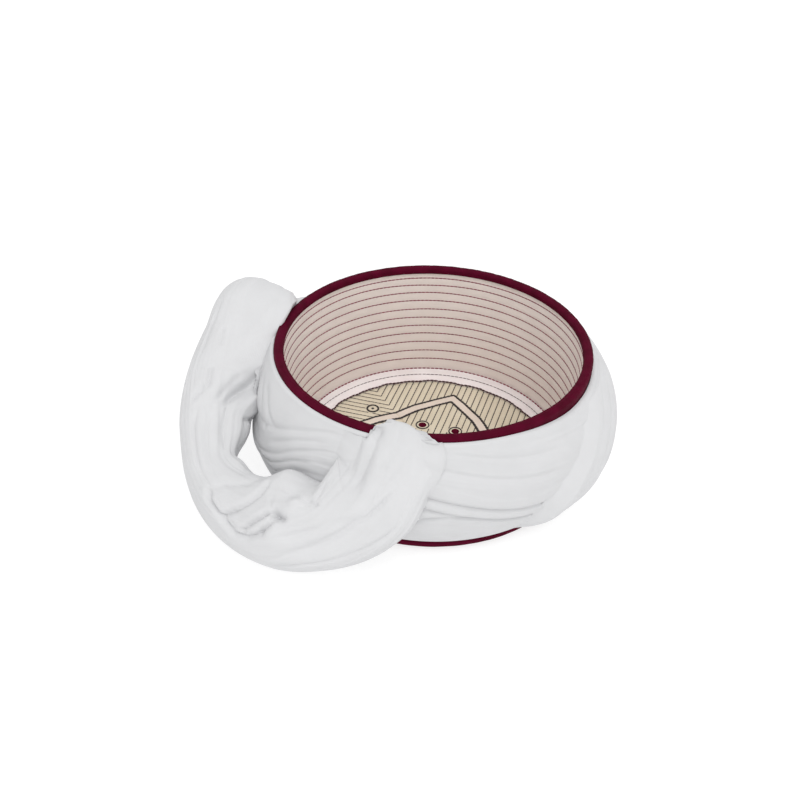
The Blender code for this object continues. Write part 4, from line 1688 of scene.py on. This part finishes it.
@dataclass
class RolledTail:
    """The loose end of the cloth: over the rim, down the front, round the left side and up to the back."""

    turns: WoundTurns
    steps: int = 430
    sides: int = 216
    around: float = 150.0
    stride: float = 25.0
    even: float = 0.9
    clearance: float = 0.7
    pressed: float = -1.3
    rim_ease: float = 1.1
    sunk: float = -0.7
    tucked: float = 8.0
    tucked_from: float = 15.6
    tucked_over: float = 1.4
    over_gap: float = 0.7
    gap_fade: float = 40.0
    right_sag: float = 5.5
    left_sag: float = 2.5
    lift: float = 0.3
    flat_squareness: float = 1.1
    roll_squareness: float = 0.8
    rolled_from: float = 4.2
    rolled_over: float = 2.2
    over_rim: float = 2.0
    face_end: float = 7.5
    face_from: float = 8.0
    face_to: float = 176.0
    scoop: float = 0.22
    hug: float = 26.0
    hug_above: float = 34.0
    hug_over: float = 14.0
    left_press: float = 15.0
    left_from: float = 96.0
    left_over: float = 62.0
    right_press: float = 3.0
    right_from: float = 318.0
    right_over: float = 30.0
    right_end: float = 42.0
    right_fall: float = 40.0
    under_limit: float = 79.2
    under_rise: float = 14.0
    under_edge: float = -22.0
    under_slope: float = 4.5
    under_share: float = 0.88
    under_steps: Span = Span(1.9, 0.25, 6.0, 1.0)
    sag_steps: Span = Span(1.1, 0.5, 3.6, 1.0)
    scoop_steps: Span = Span(7.4, 0.8, 10.2, 0.9)
    scoop_angles: Span = Span(182.0, 40.0, 345.0, 60.0)
    hug_steps: Span = Span(10.0, 1.1, 14.2, 1.8)
    left_steps: Span = Span(2.2, 0.6, 5.9, 1.3)
    right_steps: Span = Span(2.1, 0.6, 4.9, 1.2)
    loose_angles: Span = Span(1.0, 16.0, 183.0, 36.0)
    eased_angles: Span = Span(1.0, 60.0, 186.0, 20.0)
    table: SmoothTable = field(
        default_factory=lambda: SmoothTable(
            [
                TailSection(0, -13.0, 85.2, 67.0, 14.0, 5.0, 1.1, 180.0),
                TailSection(1, -13.0, 85.2, 79.0, 13.5, 7.0, 1.5, 180.0),
                TailSection(2, -13.0, 90.6, 87.0, 23.5, 9.0, 2.4, 90.0),
                TailSection(3, -13.0, 98.6, 78.0, 29.5, 28.0, 3.0, 0.0),
                TailSection(4, -14.5, 106.0, 64.0, 27.0, 31.5, 6.0, 0.0),
                TailSection(5, -18.5, 112.0, 46.0, 26.5, 30.0, 11.0, 0.0),
                TailSection(6, -27.0, 115.5, 31.0, 24.5, 24.0, 18.0, 0.0),
                TailSection(7, -39.0, 121.5, 22.0, 22.0, 24.0, 26.0, 0.0),
                TailSection(8, -51.5, 130.0, 19.5, 19.0, 21.0, 22.0, 0.0),
                TailSection(9, -64.5, 136.0, 24.5, 19.0, 18.5, 17.0, 0.0),
                TailSection(10, -77.0, 131.5, 36.5, 20.0, 20.0, 20.0, 0.0),
                TailSection(11, -89.0, 127.0, 50.5, 22.5, 22.5, 20.0, 0.0),
                TailSection(12, -101.0, 122.0, 63.5, 22.5, 22.0, 19.5, 0.0),
                TailSection(13, -112.5, 122.0, 75.5, 20.0, 18.5, 17.5, 0.0),
                TailSection(14, -123.0, 115.0, 62.0, 15.0, 11.5, 10.5, 0.0),
                TailSection(15, -134.0, 109.5, 55.0, 11.0, 11.0, 6.5, 0.0),
                TailSection(16, -147.0, 106.5, 49.0, 8.5, 7.5, 4.5, 0.0),
                TailSection(17, -158.0, 100.5, 44.0, 4.0, 4.0, 2.0, 0.0),
            ]
        )
    )
    pleats: PleatRun = PleatRun(
        seed=121, span=150.0, narrowest=3.5, widest=11.0, depth=1.5, softness=0.7, lap=0.25
    )
    fine_pleats: PleatRun = PleatRun(seed=131, span=150.0, narrowest=1.6, widest=4.2, depth=0.4, softness=0.3)
    creases: tuple[Crease, ...] = (
        Crease(((2.2, 118), (2.6, 113), (3.2, 110), (3.8, 112), (4.3, 114), (4.8, 118)), 2.6, 2.4, -1.6),
        Crease(((2.7, 130), (3.6, 129), (4.7, 131)), 1.1, 1.6, -0.6),
        Crease(((2.8, 143), (3.6, 143), (4.6, 144)), 0.9, 1.5, -0.5),
        Crease(((2.0, 84), (2.7, 86), (3.4, 92), (4.0, 100)), 1.0, 2.4, 0.9),
        Crease(((2.6, 66), (3.5, 75), (4.5, 88), (5.3, 99), (5.9, 104)), 1.2, 2.8, 0.8),
        Crease(((3.9, 66), (4.4, 77), (5.2, 92), (6.2, 91), (6.7, 89), (7.2, 80)), 2.0, 1.5, 1.1),
        Crease(((4.6, 44), (5.6, 62), (6.5, 70), (7.4, 66)), 1.1, 1.6, 0.7),
        Crease(((5.1, 102), (5.9, 106), (6.4, 111), (6.8, 108)), 1.2, 2.2, 0.7),
        Crease(((5.35, 157), (5.6, 143), (5.9, 134)), 1.2, 2.6, -0.4),
        Crease(((8.53, 138), (8.38, 164), (8.07, 179), (7.79, 184)), 1.3, 2.6, -1.4, 0.15),
        Crease(((8.08, 110), (7.81, 137), (7.58, 157), (7.45, 171), (7.34, 183)), 2.8, 1.6, -2.1, 0.1, 9.0),
        Crease(((7.34, 181), (6.96, 178), (6.52, 170), (5.98, 150), (5.6, 127)), 1.1, 2.0, -1.2, 0.1, 8.0),
        Crease(((7.62, 106), (7.34, 129), (7.11, 141), (6.96, 146)), 3.0, 1.6, -2.2, 0.1, 8.0),
        Crease(((7.02, 143), (6.9, 145), (6.75, 138), (6.55, 128)), 4.6, 2.2, -2.4, 0.25),
        Crease(
            (
                (8.58, 146),
                (8.43, 121),
                (8.05, 112),
                (7.72, 98),
                (7.41, 101),
                (7.13, 111),
                (6.94, 123),
                (6.8, 136),
            ),
            depth=3.0,
            width=1.7,
            lip=2.4,
            ends=0.1,
            reach=7.0,
        ),
        Crease(
            (
                (11.35, 213),
                (11.15, 209),
                (10.95, 206),
                (10.78, 204),
                (10.63, 199),
                (10.46, 194),
                (10.25, 186),
            ),
            depth=6.0,
            width=3.0,
            lip=4.6,
            ends=0.25,
            reach=8.0,
        ),
        Crease(((11.05, 199), (10.84, 194), (10.57, 187), (10.29, 177)), 1.7, 1.7, 1.6, 0.2, 5.0),
        Crease(((10.27, 264), (10.12, 243), (10.0, 226)), 2.4, 1.7, 1.0),
        Crease(((11.1, 174), (10.87, 174), (10.62, 173)), 2.2, 1.4, 0.9),
        Crease(((10.75, 170), (10.55, 159), (10.42, 143)), 1.7, 1.7, 1.1),
        Crease(((12.02, 172), (11.82, 175), (11.58, 177)), 1.2, 1.5, 0.5),
        Crease(((10.5, 199), (10.17, 195), (9.76, 190), (9.2, 196)), 1.6, 2.6, 1.1, 0.25, 8.0),
        Crease(((10.4, 163), (9.87, 148), (9.36, 146), (8.74, 143)), 1.4, 2.6, 1.1, 0.25, 8.0),
        Crease(((10.4, 181), (9.85, 171), (9.28, 170), (8.79, 168)), 1.2, 2.4, 0.8, 0.25, 8.0),
        Crease(((11.5, 190), (12.0, 194), (12.6, 203), (13.0, 215)), 1.3, 2.6, 0.9),
        Crease(((11.3, 150), (12.0, 150), (12.7, 156)), 1.0, 2.6, 0.8),
    )
    bulges: tuple[Bulge, ...] = (
        Bulge(2.05, 116, 0.3, 16, 1.4),
        Bulge(2.3, 143, 0.25, 10, -1.6),
        Bulge(4.5, 120, 0.55, 26, -2.4),
        Bulge(7.75, 128, 0.35, 15, -1.8),
        Bulge(6.42, 155, 0.22, 13, 3.2),
        Bulge(7.13, 113, 0.08, 6, -2.6),
        Bulge(6.84, 137, 0.09, 7, -3.0),
        Bulge(10.62, 211, 0.2, 13, -5.0),
        Bulge(9.95, 252, 0.35, 22, 3.5),
        Bulge(9.6, 222, 0.7, 18, 3.0),
        Bulge(8.7, 220, 0.3, 18, 3.0),
        Bulge(7.15, 192, 0.55, 20, 7.0),
        Bulge(11.9, 205, 0.9, 40, 2.0),
    )

    def middle(self, step: np.ndarray) -> np.ndarray:
        """Gives the middle of the roll in unrolled space.

        Args:
            step: Step of the table.

        Returns:
            Rows of the run round the cap, the radius and the height.
        """
        radius = self.table.read("radius", step)
        run = np.radians(self.table.read("azimuth", step)) * radius
        return np.stack([run, radius, self.table.read("height", step)], axis=-1)

    def under_rim(self, step: np.ndarray, azimuth: np.ndarray, height: np.ndarray) -> np.ndarray:
        """Gives the height with the left part of the front panel kept under the binding.

        Args:
            step: Step of the table.
            azimuth: The points' degrees round the cap.
            height: Their heights.

        Returns:
            The heights.
        """
        free = smooth_step((azimuth - self.under_edge) / self.under_slope)
        over = np.maximum(height - (self.under_limit + self.under_rise * free), 0.0)
        return height - self.under_share * over * self.under_steps.at(step)

    def dropped(self, step: np.ndarray, cos: np.ndarray) -> np.ndarray:
        """Gives how far the two edges sag onto the rim where the tail comes over it.

        Args:
            step: Step of the table.
            cos: Place across the roll, from -1 at its left edge to 1 at its right one.

        Returns:
            Millimetres into the roll.
        """
        right = self.right_sag * smooth_step((cos - 0.2) / 0.75)
        left = self.left_sag * smooth_step(-cos * 2.4 - 1.4)
        return self.sag_steps.at(step) * (right + left)

    def scooped(self, step: np.ndarray, turn: np.ndarray) -> np.ndarray:
        """Gives the share by which the side that faces the cap is hollowed where the tail leaves it."""
        angle = np.degrees(turn) % 360.0
        return self.scoop * self.scoop_angles.at(angle) * self.scoop_steps.at(step)

    def hugged(self, step: np.ndarray, turn: np.ndarray, height: np.ndarray) -> np.ndarray:
        """Gives how far the upper lobe leans in towards the cap, until the wound turns stop it."""
        inner_side = smooth_step((height - self.hug_above) / self.hug_over) * smooth_step(-np.sin(turn) * 1.1)
        return self.hug * self.hug_steps.at(step) * inner_side

    def thinned(self, step: np.ndarray, turn: np.ndarray) -> np.ndarray:
        """Gives how far the edges of the front panel are pressed down towards the turns under it.

        Args:
            step: Step of the table.
            turn: Radians round the section.

        Returns:
            Millimetres towards the cap's axis.
        """
        angle = np.degrees(turn) % 360.0
        left = smooth_step((angle - self.left_from) / self.left_over) * self.left_steps.at(step)
        right = smooth_step((angle - self.right_from) / self.right_over)
        right = right + smooth_step((self.right_end - angle) / self.right_fall)
        return self.left_press * left + self.right_press * right * self.right_steps.at(step)

    def clear_of_rim(
        self, radius: np.ndarray, height: np.ndarray, ease: np.ndarray
    ) -> tuple[np.ndarray, np.ndarray]:
        """Moves points out of the rounded rim of the cap.

        Args:
            radius: The points' radii.
            height: The points' heights.
            ease: How far off the binding each one stays.

        Returns:
            Their radii and heights outside the rim.
        """
        middle = CAP.wall(CAP.height) - CAP.thickness / 2
        half = CAP.thickness / 2 + CAP.binding_cloth + CAP.gap + ease
        across = radius - middle
        above = np.maximum(height - (CAP.height + ease - half), 0.0)
        reach = np.maximum(np.hypot(across, above), 1e-6)
        inside, beside = reach < half, above == 0.0
        pushed = np.where(beside, middle + np.copysign(half, across), middle + across * half / reach)
        lifted = np.where(beside, height, height + above * (half / reach - 1))
        return np.where(inside, pushed, radius), np.where(inside, lifted, height)

    def clear_of_turns(
        self, azimuth: np.ndarray, radius: np.ndarray, height: np.ndarray, clearance: np.ndarray
    ) -> np.ndarray:
        """Moves points of the outer stretch off the wound turns.

        Args:
            azimuth: Degrees round the cap.
            radius: The points' radii.
            height: Their heights.
            clearance: How far off the turns each one stays at least.

        Returns:
            The radii outside the turns.
        """
        share = self.turns.share(azimuth, height)
        beside = self.turns.plain_radius(azimuth, share) + clearance
        above = self.turns.plain_radius(azimuth, np.ones_like(share)) + clearance
        above = above - (height - self.turns.top_edge(azimuth)) / 2
        return np.maximum(radius, np.where(share <= 1.0, beside, above))

    def relief(self, step: np.ndarray, turn: np.ndarray) -> np.ndarray:
        """Gives how far the pleats stand out of the roll.

        Args:
            step: Step of the table.
            turn: Radians round the section.

        Returns:
            Millimetres outwards.
        """
        angle = np.degrees(turn) % 360.0
        flat = (turn % math.tau) / math.tau * self.around
        run = step * self.stride
        seam = smooth_step(flat / 5) * smooth_step((self.around - flat) / 5)
        calm = 0.3 + 0.7 * smooth_step((step - 2.6) / 2.6)
        total = (self.pleats.relief(flat, run) + self.fine_pleats.relief(flat, run) - self.even) * calm
        for crease in self.creases:
            total += crease.scaled(self.stride, self.around / 360.0).relief(run, flat)
        for bulge in self.bulges:
            total += bulge.relief(step, angle)
        return total * seam

    def laid(self, step: np.ndarray, turn: np.ndarray) -> np.ndarray:
        """Gives where a point of the roll's section lies from the roll's middle.

        Args:
            step: Step of the table.
            turn: Radians round the section.

        Returns:
            Rows of the offset round the cap, outwards and up, in millimetres.
        """
        nudge, last = 0.02, self.table.columns[-1, 0]
        run = self.middle(np.minimum(step + nudge, last)) - self.middle(np.maximum(step - nudge, 0))
        run /= np.linalg.norm(run, axis=1, keepdims=True)
        look = np.radians(self.table.read("normal", step))
        face = np.stack([np.zeros_like(look), np.cos(look), np.sin(look)], axis=-1)
        face -= (face * run).sum(axis=1, keepdims=True) * run
        face /= np.linalg.norm(face, axis=1, keepdims=True)
        cos, sin = np.cos(turn), np.sin(turn)
        rolled = smooth_step((step - self.rolled_from) / self.rolled_over)
        power = self.flat_squareness + rolled * (self.roll_squareness - self.flat_squareness)
        wide = np.copysign(np.abs(cos) ** power, cos)
        deep = np.copysign(np.abs(sin) ** power, sin)
        outer, inner = self.table.read("half_outer", step), self.table.read("half_inner", step)
        half_depth = self.table.read("half_depth", step) * (1 - self.scooped(step, turn))
        rise = half_depth * deep - self.dropped(step, cos)
        return np.cross(run, face) * (np.where(cos > 0, outer, inner) * wide)[:, None] + face * rise[:, None]

    def plain_point(self, step: np.ndarray, turn: np.ndarray) -> np.ndarray:
        """Gives a point of the roll's surface before it is pleated.

        Args:
            step: Step of the table.
            turn: Radians round the section.

        Returns:
            Points in metres.
        """
        step = np.clip(step, 0.0, self.table.columns[-1, 0])
        offset = self.laid(step, turn)
        radius = self.table.read("radius", step)
        azimuth = self.table.read("azimuth", step) + np.degrees(offset[:, 0] / radius)
        height = self.table.read("height", step) + offset[:, 2]
        radius = radius + offset[:, 1] - self.hugged(step, turn, height) - self.thinned(step, turn)
        height = self.under_rim(step, azimuth, height)
        angle = np.degrees(turn) % 360.0
        ease = self.sunk + self.eased_angles.at(angle) * (self.rim_ease - self.sunk)
        radius, height = self.clear_of_rim(radius, height, ease)
        clearance = self.pressed + self.loose_angles.at(angle) * (self.clearance - self.pressed)
        clearance = clearance - self.tucked * smooth_step((step - self.tucked_from) / self.tucked_over)
        outside = self.clear_of_turns(azimuth, radius, height, clearance)
        radius = np.where(step > self.over_rim, outside, radius)
        return polar(azimuth, radius, np.maximum(height, self.lift))

    def normal(self, step: np.ndarray, turn: np.ndarray) -> np.ndarray:
        """Gives the way out of the plain surface at each point.

        Args:
            step: Step of the table.
            turn: Radians round the section.

        Returns:
            Directions of length 1.
        """
        nudge = 0.015
        along = self.plain_point(step + nudge, turn) - self.plain_point(step - nudge, turn)
        around = self.plain_point(step, turn + 2 * nudge) - self.plain_point(step, turn - 2 * nudge)
        out = np.cross(around, along)
        return out / np.maximum(np.linalg.norm(out, axis=1, keepdims=True), 1e-12)

    def point(self, step: np.ndarray, turn: np.ndarray) -> np.ndarray:
        """Gives a point of the pleated surface.

        Args:
            step: Step of the table.
            turn: Radians round the section.

        Returns:
            Points in metres.
        """
        small = smooth_step(self.table.read("half_depth", step) / 5.0) * 0.85 + 0.15
        rise = self.relief(step, turn) * small
        points = self.plain_point(step, turn) + self.normal(step, turn) * (rise * MM)[:, None]
        points[:, 2] = np.maximum(points[:, 2], self.lift * MM)
        return self.over_pleats(step, turn, points)

    def over_pleats(self, step: np.ndarray, turn: np.ndarray, points: np.ndarray) -> np.ndarray:
        """Moves points of the front panel's face off the pleats that it lies on.

        Args:
            step: Step of the table.
            turn: Radians round the section.
            points: The points, in metres.

        Returns:
            The points, none of them inside the pleated turns.
        """
        angle = np.degrees(turn) % 360.0
        panel = (step > self.over_rim) & (step < self.face_end)
        face = panel & (angle > self.face_from) & (angle < self.face_to)
        x, y, z = (points[face] / MM).T
        azimuth, radius = np.degrees(np.arctan2(x, -y)), np.hypot(x, y)
        share = self.turns.share(azimuth, z)
        gap = self.over_gap * smooth_step((self.face_to - angle[face]) / self.gap_fade)
        under = self.turns.surface(azimuth, np.clip(share, 0.0, 1.0)) + gap
        lifted = polar(azimuth, np.maximum(radius, under), z)
        points[face] = np.where((share < 1.0)[:, None], lifted, points[face])
        return points

    def place(self, along: np.ndarray, across: np.ndarray) -> np.ndarray:
        """Gives the points of the tail for shares of the way along it and round its section."""
        return self.point(along * self.table.columns[-1, 0], (across % 1.0) * math.tau)

    def build(self) -> None:
        """Makes the rolled tail."""
        bm = laid_grid(self.place, self.steps, self.sides, (0.43, 0.15))
        close_ends(bm)
        obj = dress(finished("rolled_tail", bm, Finish.MUSLIN.made(), 80.0), "turban_cloth", "tail_loop")


# Camera and studio


@dataclass(frozen=True)
class PhotoCamera:
    """The camera at the photograph's viewing angle, in millimetres, pixels and radians."""

    elevation: float = 0.62106
    roll: float = 0.02335
    distance: float = 700.0
    target_x: float = -18.7734
    target_z: float = 40.50311
    focal: float = 1153.85718
    frame: float = 800.0
    sensor: float = 36.0

    def build(self) -> None:
        """Makes the camera the scene's own."""
        forward = Vector((0, math.cos(self.elevation), -math.sin(self.elevation)))
        level = Vector((1, 0, 0))
        upright = level.cross(forward)
        right = math.cos(self.roll) * level + math.sin(self.roll) * upright
        up = -math.sin(self.roll) * level + math.cos(self.roll) * upright
        data = bpy.data.cameras.new("photo_camera")
        data.sensor_width = self.sensor
        data.lens = self.focal / self.frame * self.sensor
        data.clip_start = 0.01
        camera = bpy.data.objects.new("photo_camera", data)
        turn = Matrix((right, up, -forward)).transposed().to_4x4()
        place = Vector((self.target_x, 0, self.target_z)) * MM - forward * self.distance * MM
        camera.matrix_world = Matrix.Translation(place) @ turn
        bpy.context.scene.collection.objects.link(camera)
        bpy.context.scene.camera = camera


class SoftSky(NamedTuple):
    """A wide, even light: its name, where it comes from, its spread in degrees, its power and colour."""

    name: str
    comes_from: tuple[float, float, float]
    spread: float
    power: float
    colour: Colour


@dataclass(frozen=True)
class Studio:
    """A white floor under soft light."""

    floor_size: float = 12.0
    floor_colour: Colour = (0.35, 0.35, 0.35)
    floor_patch: Colour = (0.34475, 0.34475, 0.34475)
    floor_glow: float = 0.72
    dome: float = 0.83
    sky: SoftSky = SoftSky("top_light", (0.15, -0.62, 1.0), 50.0, 1.16, (1.0, 0.997, 0.99))

    def build(self) -> None:
        """Makes the floor, the dome and the soft light."""
        bm = bmesh.new()
        bmesh.ops.create_grid(bm, x_segments=4, y_segments=4, size=self.floor_size / 2)
        glow = {"Emission Color": (1.0, 1.0, 1.0, 1.0), "Emission Strength": self.floor_glow}
        shader = Shader("studio_floor", {"Roughness": 0.9, "Specular IOR Level": 0.2, **glow})
        colour = shader.colour(self.floor_colour, self.floor_patch, shader.grain(3.0))
        paper = shader.finish(colour, shader.bump(shader.grain(900.0), 0.02))
        floor = finished("studio_floor", bm, paper)
        world = bpy.data.worlds.new("studio")
        world.use_nodes = True
        world.node_tree.nodes["Background"].inputs["Color"].default_value = (1.0, 1.0, 1.0, 1.0)
        world.node_tree.nodes["Background"].inputs["Strength"].default_value = self.dome
        bpy.context.scene.world = world
        self.hang(self.sky)
        bpy.context.scene.view_settings.view_transform = "Standard"

    def hang(self, sky: SoftSky) -> None:
        """Hangs a soft light over the floor.

        Args:
            sky: The light.
        """
        data = bpy.data.lights.new(sky.name, "SUN")
        data.angle, data.energy, data.color = math.radians(sky.spread), sky.power, sky.colour
        light = bpy.data.objects.new(sky.name, data)
        way = Vector(sky.comes_from).to_track_quat("Z", "Y").to_matrix().to_4x4()
        light.matrix_world = Matrix.Translation(sky.comes_from) @ way
        bpy.context.scene.collection.objects.link(light)


def main() -> None:
    """Builds the camera, the studio and every piece, in order."""
    logging.basicConfig(level=logging.INFO, format="%(name)s: %(message)s")
    PhotoCamera().build()
    Studio().build()
    turns = WoundTurns()
    for assembly in (
        QuiltedCrown(),
        QuiltedWall(),
        SeamTape(),
        Piping(),
        RimBinding(),
        turns,
        CrossTurn(turns),
        RolledTail(turns),
    ):
        assembly.build()


if __name__ == "__main__":
    main()
